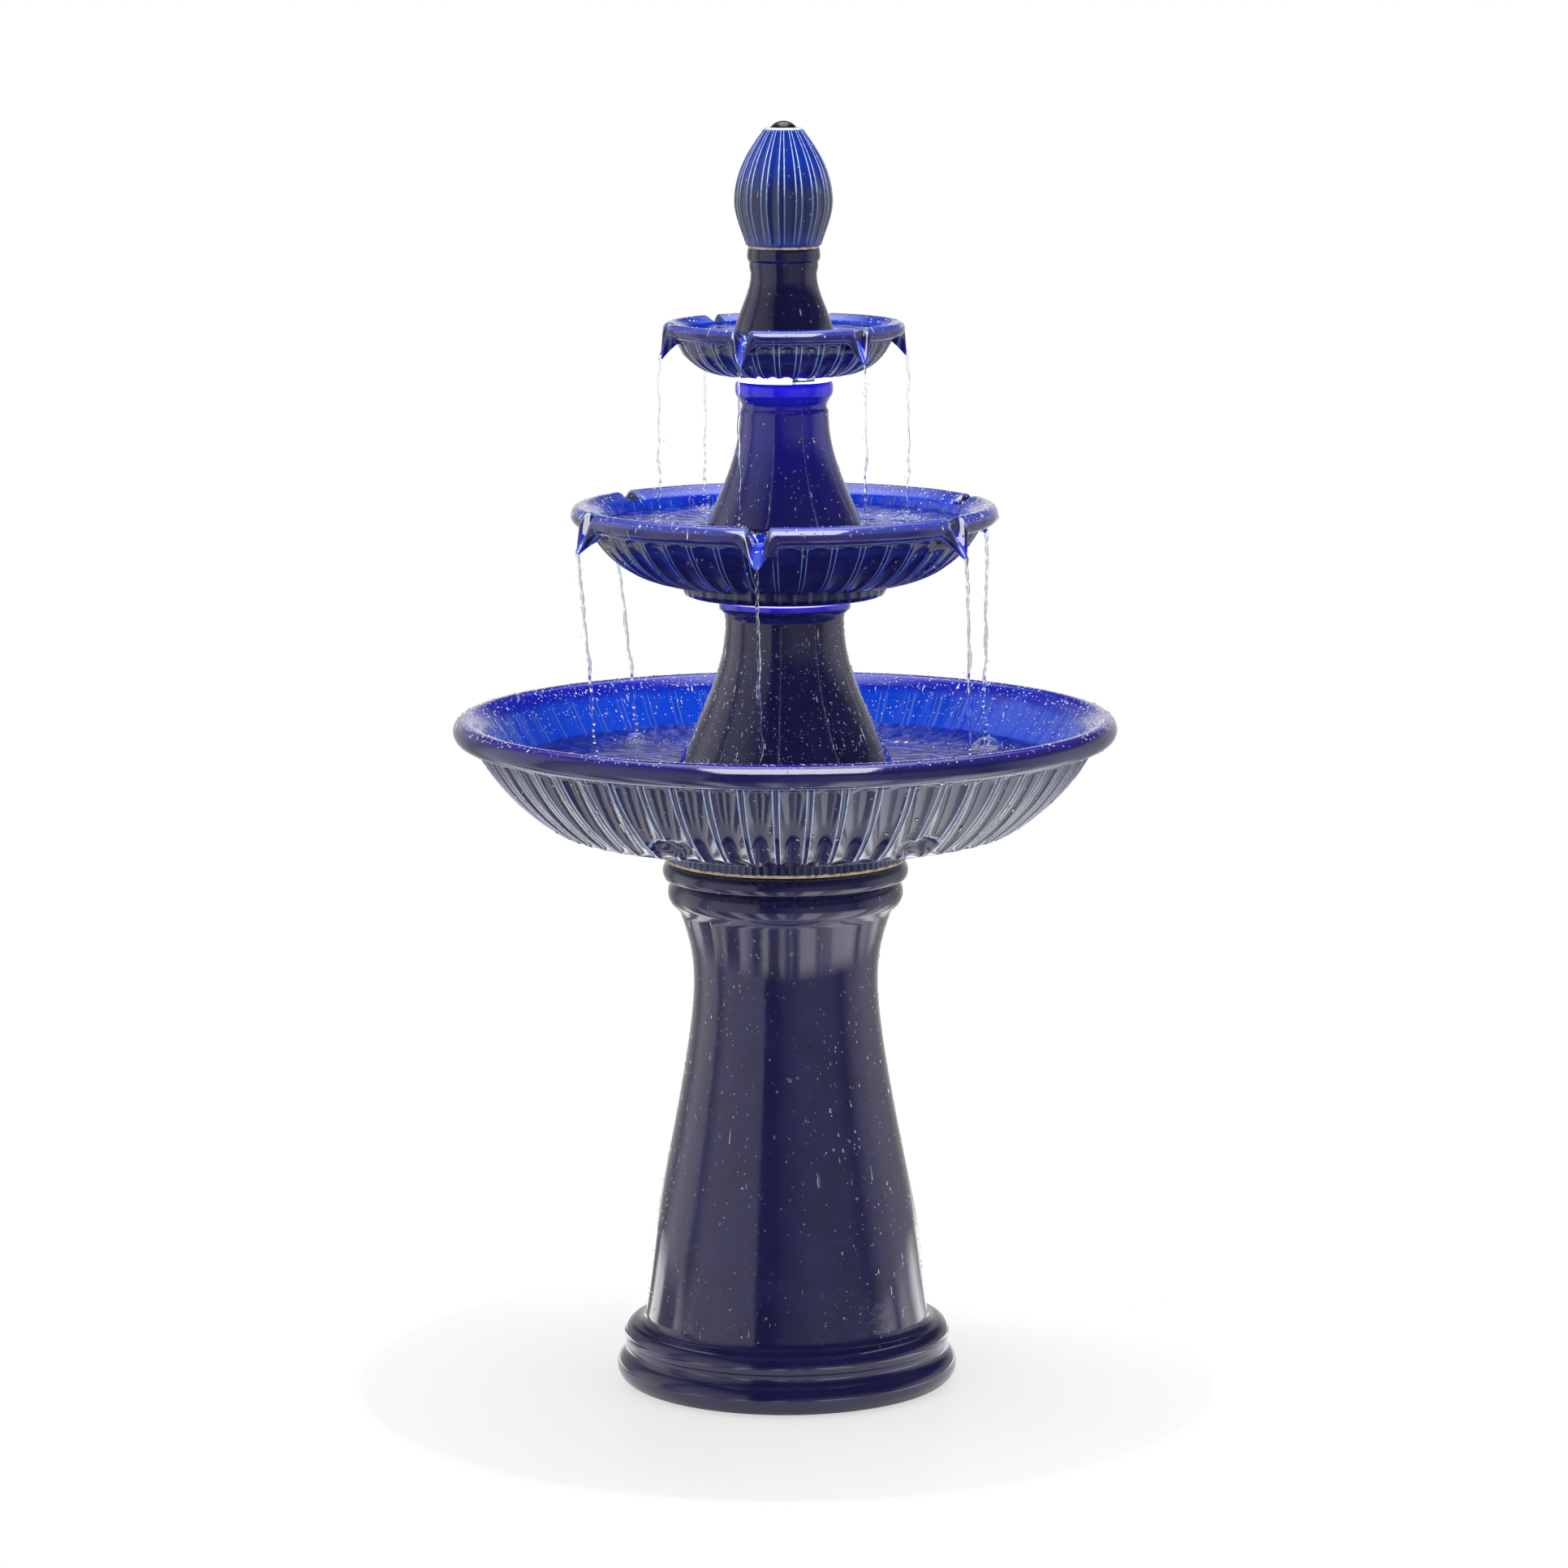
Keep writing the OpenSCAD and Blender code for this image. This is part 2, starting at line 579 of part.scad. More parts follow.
mid_wall = mid_floor - mid_foot_h;
mid_outside = concat(arc([mid_foot_r - 6, 6], 6, -90, 0, 3), [[mid_foot_r, mid_foot_h - 1]],
    belly_arc([mid_foot_r + 5, mid_foot_h],
        [mid_rim_r - 0.75 * mid_roll, mid_rim_z - mid_roll], mid_belly, 5));
mid_inside = belly_arc([mid_foot_r, mid_floor], [mid_rim_r - mid_roll - mid_lip, mid_rim_z],
    mid_belly - mid_wall, 5);
mid_fluted = [for (p = mid_outside) if (p[1] >= mid_foot_h) p];
mid_inner_fillet = reversed([for (i = [3:5]) mid_inside[i]]);
mid_turn = -2.75;
mid_spout_turn = -7.1;

module mid_bowl() {
    tip = [mid_spout_r, mid_spout_z];
    sill = mid_rim_z - 0.9 * mid_roll;
    color(glaze) translate([0, 0, mid_bowl_z]) difference() {
        union() {
            rotate_extrude() bowl_section(mid_outside, mid_inside, mid_rim_r, mid_roll, mid_rim_z);
            fillets(mid_flutes, mid_share, mid_turn,
                stretched(mid_fluted, 8, mid_roll / 2), fillet_h - 0.2, 2);
            fillets(mid_flutes, mid_share, mid_turn,
                stretched(mid_inner_fillet, -3, -2), fillet_h - 0.4, 2);
            at_pattern(spout_count, 0, mid_spout_turn - 90)
                spout_body(mid_rim_r, mid_roll, mid_rim_z, tip, mid_spout_w);
        }
        at_pattern(spout_count, 0, mid_spout_turn - 90)
            spout_channel(mid_rim_r, mid_roll, mid_rim_z, tip, mid_spout_w, sill);
        translate([0, 0, -1]) cylinder(r = lower_light_r + 2 * slip, h = mid_pocket + 1);
        translate([0, 0, -1]) cylinder(r = grommet_r, h = mid_floor + 2, $fn = small_fn);
    }
}

top_outside = belly_arc([top_foot_r, 0], [top_rim_r - 0.75 * top_roll, top_rim_z - top_roll], top_belly, 5);
top_inside = belly_arc([top_foot_r, top_floor], [top_rim_r - top_roll - top_lip, top_rim_z],
    top_belly - top_floor, 5);
top_turn = -4;
top_spout_turn = -20.6;

module top_bowl() {
    tip = [top_spout_r, top_spout_z];
    sill = top_rim_z - 0.6 * top_roll;
    color(glaze) translate([0, 0, top_bowl_z]) difference() {
        union() {
            rotate_extrude() bowl_section(top_outside, top_inside, top_rim_r, top_roll, top_rim_z);
            fillets(top_flutes, top_share, top_turn,
                stretched(top_outside, -2, top_roll / 2), fillet_h - 0.4, 2);
            at_pattern(spout_count, 0, top_spout_turn - 90)
                spout_body(top_rim_r, top_roll, top_rim_z, tip, top_spout_w);
        }
        at_pattern(spout_count, 0, top_spout_turn - 90)
            spout_channel(top_rim_r, top_roll, top_rim_z, tip, top_spout_w, sill);
        translate([0, 0, -1]) cylinder(r = grommet_r, h = top_floor + 2, $fn = small_fn);
    }
}

// ---- Seals ----
grommet_r = lead_y + lead_r + 3;
grommet_flange = 3;

module grommet(h, with_lead) {
    through = h + grommet_flange + 2;
    color(rubber) difference() {
        union() {
            cylinder(r = grommet_r, h = h, $fn = small_fn);
            translate([0, 0, h]) cylinder(r = grommet_r + 4, h = grommet_flange, $fn = small_fn);
        }
        translate([0, 0, -1]) cylinder(r = hose_r, h = through, $fn = small_fn);
        if (with_lead) translate([0, lead_y, -1]) cylinder(r = lead_r, h = through, $fn = small_fn);
    }
}

module mid_grommet() translate([0, 0, mid_bowl_z + mid_pocket]) grommet(mid_floor - mid_pocket, true);
module top_grommet() translate([0, 0, top_bowl_z]) grommet(top_floor, false);

// ---- Finial ----
finial_side = concat(
    [[finial_base_r, 0]],
    bezier([finial_base_r + 3, 9.5], [finial_r - 3, finial_waist_z - 18],
        [finial_r, finial_waist_z - 9], [finial_r, finial_waist_z], 5),
    middle(bezier([finial_r, finial_waist_z], [finial_r, finial_waist_z + 27],
        [finial_top_r + 14, finial_h - 18], [finial_top_r, finial_h], 7)),
    [[finial_top_r, finial_h - 0.5]]);
finial_ribbed = [for (p = finial_side) if (p[1] > 2 && p[1] < finial_h - 3) p];
finial_bore_r = nozzle_r + 2 * slip + 0.1;
finial_turn = -2.6;

module finial() {
    color(glaze) translate([0, 0, finial_z]) union() {
        rotate_extrude() polygon(concat(
            finial_side, [[finial_top_r - 0.8, finial_h], [finial_bore_r, finial_h]],
            reversed([for (p = finial_side) [max(p[0] - finial_wall, finial_bore_r), p[1]]])));
        fillets(finial_flutes, finial_share, finial_turn,
            stretched(finial_ribbed, 3, -1), fillet_h - 0.5, 1.5);
    }
}

// ---- Riser ----
barb_z = lower_stem_z + cup_h + pump_w + 6;
barb_thread = 8;
hose_seat = 5;
hose_z = barb_z + hose_seat;
skirt = 2;            // how far the nozzle's plug reaches down to the hose
hose_top = nozzle_z - skirt;

module riser_hose()
    color("#c9d2d6") translate([0, 0, hose_z])
        ring(hose_r, hose_r - hose_wall, hose_top - hose_z, $fn = small_fn);

module nozzle_cap() {
    dome_r = (nozzle_r^2 + nozzle_dome^2) / (2 * nozzle_dome);
    rim_a = asin(nozzle_r / dome_r);
    color(rubber) translate([0, 0, nozzle_z]) rotate_extrude($fn = small_fn) difference() {
        union() {
            polygon(concat([[0, -skirt], [nozzle_r, -skirt]],
                arc([0, nozzle_dome - dome_r], dome_r, 90 - rim_a, 90, 8)));
            translate([hose_r, -skirt - 12]) square([nozzle_r - hose_r, 12 + eps]);
        }
        translate([0, -skirt - 1]) square([jet_r, nozzle_dome + skirt + 2]);
    }
}

module hose_clamp() {
    band_w = 8;
    band_z = hose_z + 6;
    color("silver") {
        translate([0, 0, band_z]) ring(hose_r + 1.1, hose_r, band_w, $fn = small_fn);
        translate([hose_r + 1, -band_w / 2, band_z]) cube([6, band_w, band_w]);
        translate([hose_r + 4, -band_w / 2 - 5, band_z + band_w / 2]) rotate([-90, 0, 0])
            cylinder(r = 2.6, h = 5, $fn = small_fn);
    }
}

module outlet_barb() {
    tooth = 6;
    tooth_h = 1.2;
    first = 7;
    barb_end = first + 3 * tooth;
    color("#3a3a3e") translate([0, 0, barb_z]) difference() {
        union() {
            translate([0, 0, -barb_thread]) cylinder(r = outlet_bore, h = barb_thread, $fn = small_fn);
            cylinder(r = outlet_bore + 4.5, h = hose_seat - 0.5, $fn = 6);
            rotate_extrude($fn = small_fn) polygon(concat(
                [[0, hose_seat - 1], [hose_r - hose_wall, hose_seat - 1]],
                [for (i = [0:2], s = [0, 1])
                    [hose_r - hose_wall - s * tooth_h, first + i * tooth + s * (tooth - 0.5)]],
                [[0, barb_end]]));
        }
        translate([0, 0, -barb_thread - 1])
            cylinder(r = outlet_bore - 1.5, h = barb_end + barb_thread + 2, $fn = small_fn);
    }
}

// ---- Lighting ----
light_base = 1.5;     // thickness of a ring's floor
lamp_t = 1.8;         // height of a lamp
tail_r = 0.8;         // radius of the tails that feed the boards
light_gap_a = 46;     // where the upper ring's opening ends, from the front towards +X
lower_board_r = lower_light_r - 3;
upper_board_r = upper_light_r - 4;
lower_board_in = 40;
upper_board_in = 24;

module light_ring(r, h, board_r, board_in, open_a)
    color("#e8f2ff") rotate([0, 0, light_gap_a - 90]) rotate_extrude(angle = 360 - open_a)
        polygon([[board_in - 1, 0], [r, 0], [r, h], [board_r + slip, h],
                 [board_r + slip, light_base], [board_in - 1, light_base]]);

module light_board(r, board_in, z)
    color("#2f6b3a") translate([0, 0, z + light_base]) ring(r, board_in, board_t);

module lower_light_ring()
    translate([0, 0, lower_light_z])
        light_ring(lower_light_r, lower_light_h, lower_board_r, lower_board_in, 0);

module upper_light_ring()
    translate([0, 0, upper_light_z])
        light_ring(upper_light_r, upper_light_h, upper_board_r, upper_board_in, upper_light_gap);

module lower_light_board() light_board(lower_board_r, lower_board_in, lower_light_z);
module upper_light_board() light_board(upper_board_r, upper_board_in, upper_light_z);

// Lamp 1 stands in the middle of the upper ring's opening
module lamp(i, r, z)
    color("white") rotate([0, 0, light_gap_a - 90 - upper_light_gap / 2 + (i - 1) * 360 / lamp_count])
        translate([r - lamp_w - 1, -lamp_w / 2, z + light_base + board_t]) cube([lamp_w, lamp_w, lamp_t]);

module lower_lamp(i) lamp(i, lower_board_r, lower_light_z);
module upper_lamp(i) lamp(i, upper_board_r, upper_light_z);

lead_bend_z = lower_stem_z + 2 * pump_w + 30;
lead_side_z = lower_stem_z + pump_w + 4;

module light_lead()
    color("#202024") wire([[0, lead_y, upper_light_z + 4], [0, lead_y, lead_bend_z],
        [-bung_hole_x, bung_y, lead_side_z], [-bung_hole_x, bung_y, lower_stem_z - 10]], lead_r);

// Short tail from the lead to a circuit board
module light_tail(z, board_in)
    color("#202024") translate([0, lead_y + lead_r, z + light_base + board_t / 2]) rotate([-90, 0, 0])
        cylinder(r = tail_r, h = board_in - lead_y - lead_r, $fn = small_fn);

module lower_light_tail() light_tail(lower_light_z, lower_board_in);
module upper_light_tail() light_tail(upper_light_z, upper_board_in);

// ---- Pump: its axis lies along X ----
pump_z = lower_stem_z + cup_h;
pump_axis_z = pump_z + pump_w / 2;
volute_r = impeller_r + 3;
volute_l = 16;
outlet_bore = 6;
outlet_wall = 2;
well_r = magnet_r + 0.6;
motor_x = 10;
well_end = motor_x + motor_l - 13;
front_x = -(outlet_bore + outlet_wall);
cover_t = 3;
shaft_seat = 3;

module along_x(x) translate([x, 0, pump_axis_z]) rotate([0, 90, 0]) children();

module pump_housing() {
    color("#2b2b30") difference() {
        union() {
            translate([motor_x + motor_l / 2, 0, pump_z]) rounded_block(motor_l, pump_w, pump_w, 8);
            along_x(front_x) cylinder(r = pump_w / 2 - 3, h = motor_x - front_x + 1);
            translate([front_x, -pump_w / 2, pump_z]) cube([5, pump_w, pump_w]);
            translate([0, 0, pump_axis_z])
                cylinder(r = outlet_bore + outlet_wall, h = barb_z - pump_axis_z, $fn = small_fn);
            for (x = [motor_x + 8:7:motor_x + motor_l - 8])
                translate([x, -pump_w / 2 - 1.2, pump_z + 8]) cube([3, pump_w + 2.4, pump_w - 16]);
        }
        along_x(front_x - 1) cylinder(r = volute_r, h = volute_l + 1);
        along_x(0) cylinder(r = well_r, h = well_end, $fn = small_fn);
        along_x(well_end - 1) cylinder(r = shaft_r, h = shaft_seat + 1, $fn = small_fn);
        translate([0, 0, pump_axis_z]) cylinder(r = outlet_bore, h = pump_w, $fn = small_fn);
        cup_sockets();
        translate([motor_x + motor_l - 14, pump_w / 2 + 2, pump_z + 8]) rotate([90, 0, 0])
            cylinder(r = lead_r, h = 8, $fn = small_fn);
    }
}

module cup_sockets()
    for (i = [1:4]) translate([cup_x(i), cup_y(i), pump_z - 1]) cylinder(r = 2.5, h = 5, $fn = small_fn);

function cup_x(i) = motor_x + motor_l / 2 + (i % 2 == 0 ? 1 : -1) * (motor_l / 2 - cup_r - 3);
function cup_y(i) = (i > 2 ? 1 : -1) * (pump_w / 2 - cup_r - 1);

module suction_cup(i) {
    color("#b8c4c8") translate([cup_x(i), cup_y(i), lower_stem_z]) rotate_extrude($fn = small_fn)
        polygon([[0, 3], [cup_r - 2, 0], [cup_r, 0], [cup_r - 3.5, cup_h - 3], [3.5, cup_h], [2.5, cup_h],
                 [2.5, cup_h + 3.5], [0, cup_h + 3.5]]);
}

module volute_cover() {
    color("#3a3a3e") along_x(front_x - cover_t) linear_extrude(cover_t) difference() {
        union() {
            difference() {
                circle(r = volute_r + 2);
                circle(r = volute_r - 8);
            }
            circle(r = shaft_r + 2, $fn = small_fn);
            for (a = [0:120:240]) rotate(a) translate([0, -1]) square([volute_r - 6, 2]);
        }
        circle(r = shaft_r, $fn = small_fn);
    }
}

module impeller() {
    hub_x = front_x + slip;
    disc_x = front_x + volute_l - 6;
    color("#8f9499") difference() {
        union() {
            along_x(hub_x) cylinder(r = 4.5, h = disc_x - hub_x + 1, $fn = small_fn);
            along_x(disc_x) cylinder(r = impeller_r, h = 2);
            for (k = [0:blade_count - 1]) along_x(hub_x + 1) rotate([0, 0, k * 360 / blade_count])
                translate([3, -0.8, 0]) cube([impeller_r - 3.5, 1.6, disc_x - hub_x - 0.5]);
            along_x(disc_x + 1) cylinder(r = magnet_r, h = well_end - slip - disc_x - 1, $fn = small_fn);
        }
        along_x(front_x - 1) cylinder(r = shaft_r + running, h = well_end + 12, $fn = small_fn);
    }
}

module impeller_shaft()
    color("white") along_x(front_x - cover_t + 0.5)
        cylinder(r = shaft_r, h = well_end + shaft_seat - front_x + cover_t - 0.5, $fn = small_fn);

strainer_x = front_x - strainer_d;
strainer_wall = 2.5;
spindle_r = 2.5;
dial_t = 5;

module strainer_cover() {
    wall = strainer_wall;
    inner_w = pump_w - 2 * wall;
    color("#33333a") difference() {
        translate([strainer_x, -pump_w / 2, pump_z]) cube([strainer_d, pump_w, pump_w]);
        translate([strainer_x + wall, -inner_w / 2, pump_z + wall]) cube([strainer_d, inner_w, inner_w]);
        along_x(strainer_x - 1) cylinder(r = spindle_r + running, h = wall + 2, $fn = small_fn);
        for (y = [-20, -15.5, 15.5, 20]) translate([strainer_x - 1, y - 1.3, pump_z + 7])
            cube([wall + 2, 2.6, pump_w - 14]);
        for (x = [strainer_x + 6:5:front_x - 6]) translate([x, -pump_w / 2 - 1, pump_z + 7])
            cube([2.6, pump_w + 2, pump_w - 14]);
    }
}

module flow_dial() {
    stop_t = 1.8;
    reach = strainer_wall + 2 * slip + stop_t;
    color("#d8dadd") {
        along_x(strainer_x - slip - dial_t) difference() {
            cylinder(r = dial_r, h = dial_t, $fn = small_fn);
            for (a = [0:30:330]) rotate([0, 0, a]) translate([dial_r + 0.6, 0, -1])
                cylinder(r = 1.5, h = dial_t + 2, $fn = 16);
        }
        along_x(strainer_x - slip - 1) cylinder(r = spindle_r, h = reach + 1, $fn = small_fn);
        along_x(strainer_x + strainer_wall + slip) cylinder(r = spindle_r + 1.2, h = stop_t, $fn = small_fn);
        along_x(strainer_x - slip - dial_t - 2.5)
            translate([-dial_r + 2, -1.5, 0]) cube([2 * dial_r - 4, 3, 3]);
    }
}

module pump_lead() {
    x = motor_x + motor_l - 14;
    color("#202024") wire([[x, pump_w / 2 - 4, pump_z + 8], [x, bung_y - 12, pump_z + 8],
        [bung_hole_x + 4, bung_y, pump_z + 14], [bung_hole_x, bung_y, lower_stem_z + 4],
        [bung_hole_x, bung_y, lower_stem_z - 10]], lead_r);
}

pedestal();
pedestal_gasket();
basin();
cord_bung();
lower_stem();
mid_bowl();
mid_grommet();
mid_stem();
top_bowl();
top_grommet();
top_stem();
finial();
nozzle_cap();
riser_hose();
hose_clamp();
lower_light_ring();
lower_light_board();
upper_light_ring();
upper_light_board();
light_lead();
lower_light_tail();
upper_light_tail();
pump_housing();
volute_cover();
strainer_cover();
flow_dial();
impeller();
impeller_shaft();
outlet_barb();
pump_lead();
for (i = [1:pad_count]) foot_pad(i);
for (i = [1:4]) suction_cup(i);
for (i = [1:lamp_count]) {
    lower_lamp(i);
    upper_lamp(i);
}
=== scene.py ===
import math
import bpy
import numpy as np
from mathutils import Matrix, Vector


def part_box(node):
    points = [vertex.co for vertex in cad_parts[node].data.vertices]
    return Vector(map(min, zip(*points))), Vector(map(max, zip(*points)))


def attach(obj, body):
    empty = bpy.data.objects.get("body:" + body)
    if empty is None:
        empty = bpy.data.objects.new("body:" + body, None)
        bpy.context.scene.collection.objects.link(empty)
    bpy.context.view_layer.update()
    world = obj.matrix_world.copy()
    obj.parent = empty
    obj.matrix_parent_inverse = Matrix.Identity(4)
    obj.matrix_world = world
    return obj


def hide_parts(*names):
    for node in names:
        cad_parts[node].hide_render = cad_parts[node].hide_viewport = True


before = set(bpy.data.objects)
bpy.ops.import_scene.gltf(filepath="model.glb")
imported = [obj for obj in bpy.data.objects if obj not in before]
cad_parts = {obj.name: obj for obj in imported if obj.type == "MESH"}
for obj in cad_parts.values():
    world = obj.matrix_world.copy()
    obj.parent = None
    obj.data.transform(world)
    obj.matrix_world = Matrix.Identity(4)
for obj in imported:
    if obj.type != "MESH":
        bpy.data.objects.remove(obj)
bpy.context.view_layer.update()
bpy.ops.object.select_all(action="DESELECT")
mm = 0.001
mergeWithin = 2e-6


# camera, floor and studio
camera = {"place": (0, -5.385, 1.409), "tilt": 80.959, "roll": 0.171, "lens": 138.16, "shift": 0.001}


def addCamera():
    turn = (math.radians(camera["tilt"]), math.radians(camera["roll"]), 0)
    bpy.ops.object.camera_add(location=camera["place"], rotation=turn)
    seen = bpy.context.object
    seen.name = "viewer"
    seen.data.lens = camera["lens"]
    seen.data.sensor_width = 36
    seen.data.shift_x = camera["shift"]
    seen.data.clip_end = 60
    bpy.context.scene.camera = seen


addCamera()
bpy.context.scene.view_settings.view_transform = "Standard"
print("camera placed")


def colour(text):
    # sRGB hex to the linear values that the shaders use
    parts = [int(text[i:i + 2], 16) / 255 for i in (1, 3, 5)]
    return (*[c / 12.92 if c <= 0.04045 else ((c + 0.055) / 1.055) ** 2.4 for c in parts], 1)


def outputOf(source):
    # a node stands for its first output in use
    return source if isinstance(source, bpy.types.NodeSocket) else next(s for s in source.outputs if s.enabled)


def feed(node, inputs):
    # each input is a plain value, or another node or its output; From and To take two values, Min and Max
    for name, value in inputs.items():
        if name in ("From", "To"):
            feed(node, {name + " Min": value[0], name + " Max": value[1]})
        elif isinstance(value, (bpy.types.Node, bpy.types.NodeSocket)):
            node.id_data.links.new(outputOf(value), node.inputs[name])
        else:
            node.inputs[name].default_value = value


def addNode(tree, kind, inputs=None, stops=(), **settings):
    # one node with its settings and links, and a colour ramp's stops as (position, colour or grey) pairs
    node = tree.nodes.new("ShaderNode" + kind)
    for name, value in settings.items():
        setattr(node, name, value)
    elements = node.color_ramp.elements if stops else ()
    while len(elements) < len(stops):
        elements.new(0.5)
    for element, (place, shade) in zip(elements, stops):
        element.position = place
        element.color = colour(shade) if isinstance(shade, str) else (shade, shade, shade, 1)
    feed(node, inputs or {})
    return node


def newMaterial(name, **base):
    material = bpy.data.materials.new(name)
    material.use_nodes = True
    shader = material.node_tree.nodes["Principled BSDF"]
    feed(shader, {key.replace("_", " "): value for key, value in base.items()})
    return material, material.node_tree, shader


studio = {
    "floorSize": 14, "discRadius": 0.392, "floorColour": "#ffffff", "discColour": "#f4f4f4", "discGlow": 0.62,
    "fill": 0.84, "canopy": 1.9, "cardsFrom": 0.72, "cardsTo": 1.15, "streaksFrom": 0.22, "streaksTo": 0.3,
    # softboxes and dark flags all round: 0.5 is the viewer's side, 0 and 1 are behind the fountain
    "cards": [(0.0, 0.7), (0.06, 0.4), (0.13, 0.25), (0.17, 0.7), (0.235, 0.7), (0.25, 0.25), (0.29, 0.62),
              (0.425, 0.5), (0.432, 0.04), (0.47, 0.05), (0.5, 0.15), (0.56, 0.28), (0.66, 0.24), (0.70, 0.12),
              (0.74, 0.45), (0.8, 0.55), (0.88, 0.3), (0.93, 0.35), (1.0, 0.75)],
}
lamps = {
    "overhead": {"place": (0.15, 0.45, 3.2), "size": (2.8, 0.45), "power": 58, "mirrored": False},
    "left": {"place": (-3.2, 1.1, 2.2), "size": (0.34, 2.4), "power": 9, "mirrored": False},
    "right": {"place": (3.2, -2.2, 2.4), "size": (2.4, 2.4), "power": 22, "mirrored": False},
    "front": {"place": (-1.8, -3.4, 2.8), "size": (2.4, 2.4), "power": 24, "mirrored": False},
    # a strip over the front rims, which only shows in the glaze
    "strip": {"place": (0.04, -0.86, 1.75), "size": (1.15, 1.15), "power": 31, "mirrored": True, "lights": False},
}


def studioCards(tree, direction):
    parts = addNode(tree, "SeparateXYZ", {"Vector": direction}).outputs
    toViewer = addNode(tree, "Math", {0: parts["Y"], 1: -1.0}, operation="MULTIPLY")
    azimuth = addNode(tree, "Math", {0: parts["X"], 1: toViewer}, operation="ARCTAN2")
    turn = addNode(tree, "MapRange", {"Value": azimuth, "From": (-math.pi, math.pi)})
    return addNode(tree, "ValToRGB", {"Fac": turn}, studio["cards"])


def addFloor():
    bpy.ops.mesh.primitive_plane_add(size=studio["floorSize"], location=(0, 0, 0))
    floor = bpy.context.object
    floor.name = "floor"
    bpy.ops.object.mode_set(mode="EDIT")
    bpy.ops.mesh.subdivide(number_cuts=6)
    bpy.ops.object.mode_set(mode="OBJECT")
    disc = studio["discRadius"]
    material, tree, shader = newMaterial("paleFloor", Roughness=0.3, IOR=1.3)
    place = addNode(tree, "TexCoord").outputs["Object"]
    oval = addNode(tree, "VectorMath", {0: place, 1: (1.0, 0.94, 1.0)}, operation="MULTIPLY")
    distance = addNode(tree, "VectorMath", {0: oval}, operation="LENGTH")
    edge = addNode(tree, "MapRange", {"Value": distance, "From": (disc - 0.004, disc + 0.004)})
    tint = addNode(tree, "Mix", {"Factor": edge, 6: colour(studio["discColour"]), 7: colour(studio["floorColour"])},
                   data_type="RGBA")
    feed(shader, {"Base Color": tint})
    # outside the disc the floor runs into the white background; glossy glaze sees the studio's cards on it
    path = addNode(tree, "LightPath").outputs
    outside = addNode(tree, "MapRange", {"Value": distance, "From": (disc, disc + 0.01),
                                         "To": (studio["discGlow"], 1.0)})
    seen = addNode(tree, "Math", {0: path["Is Camera Ray"], 1: path["Is Transmission Ray"]}, operation="MAXIMUM")
    far = addNode(tree, "MapRange", {"Value": distance, "From": (studio["cardsFrom"], studio["cardsTo"])})
    # nearer by, between the stand's own shadow and the cards, glaze sees light and dark patches side by side
    heading = addNode(tree, "VectorMath", {0: place}, operation="NORMALIZE")
    patches = addNode(tree, "TexNoise", {"Vector": heading, "Scale": 2.9, "Detail": 1.5})
    patch = addNode(tree, "MapRange", {"Value": patches, "From": (0.43, 0.59), "To": (0.24, 1.65)})
    near = addNode(tree, "MapRange", {"Value": distance, "From": (studio["streaksFrom"], studio["streaksTo"])})
    mirrored = addNode(tree, "Math", {0: path["Is Glossy Ray"], 1: near}, operation="MULTIPLY")
    around = addNode(tree, "Mix", {"Factor": far, 2: patch, 3: studioCards(tree, place)})
    level = addNode(tree, "Mix", {"Factor": path["Is Glossy Ray"], 2: 1.0, 3: around})
    glow = addNode(tree, "Emission", {"Color": (1, 1, 1, 1), "Strength": level})
    share = addNode(tree, "Math", {0: seen, 1: outside, 2: mirrored}, operation="MULTIPLY_ADD")
    mixed = addNode(tree, "MixShader", {"Fac": share, 1: shader, 2: glow})
    feed(tree.nodes["Material Output"], {"Surface": mixed})
    floor.data.materials.append(material)


def addWorld():
    world = bpy.data.worlds.new("studio")
    bpy.context.scene.world = world
    world.use_nodes = True
    tree = world.node_tree
    path = addNode(tree, "LightPath").outputs
    direction = addNode(tree, "TexCoord").outputs["Generated"]
    parts = addNode(tree, "SeparateXYZ", {"Vector": direction}).outputs
    # the cards end above, where the studio is dark, and reach higher on the left
    reach = addNode(tree, "MapRange", {"Value": parts["X"], "From": (-0.75, -0.3), "To": (1.3, 0.36)})
    upper = addNode(tree, "MapRange", {"Value": parts["Z"], "From": (0.14, reach), "To": (1.0, 0.1)})
    # a bright canopy overhead, which only shows in the glaze and draws the sheen along each rim
    lean = addNode(tree, "MapRange", {"Value": parts["Y"], "From": (-1.0, 1.0)})
    along = addNode(tree, "ValToRGB", {"Fac": lean}, [(0.42, 0.0), (0.47, 1.0), (0.78, 1.0), (0.9, 0.0)])
    aside = addNode(tree, "Math", {0: parts["X"]}, operation="ABSOLUTE")
    across = addNode(tree, "MapRange", {"Value": aside, "From": (0.2, 0.42), "To": (studio["canopy"], 0.0)})
    over = addNode(tree, "MapRange", {"Value": parts["Z"], "From": (0.3, 0.5)})
    canopy = addNode(tree, "Math", {0: along, 1: across}, operation="MULTIPLY")
    canopy = addNode(tree, "Math", {0: canopy, 1: over}, operation="MULTIPLY")
    glossy = addNode(tree, "Math", {0: studioCards(tree, direction), 1: upper, 2: canopy}, operation="MULTIPLY_ADD")
    plain = addNode(tree, "Math", {0: path["Is Camera Ray"], 1: path["Is Transmission Ray"]}, operation="MAXIMUM")
    reflected = addNode(tree, "Mix", {"Factor": path["Is Glossy Ray"], 2: studio["fill"], 3: glossy})
    level = addNode(tree, "Mix", {"Factor": plain, 2: reflected, 3: 1.0})
    feed(tree.nodes["Background"], {"Color": (1, 1, 1, 1), "Strength": level})


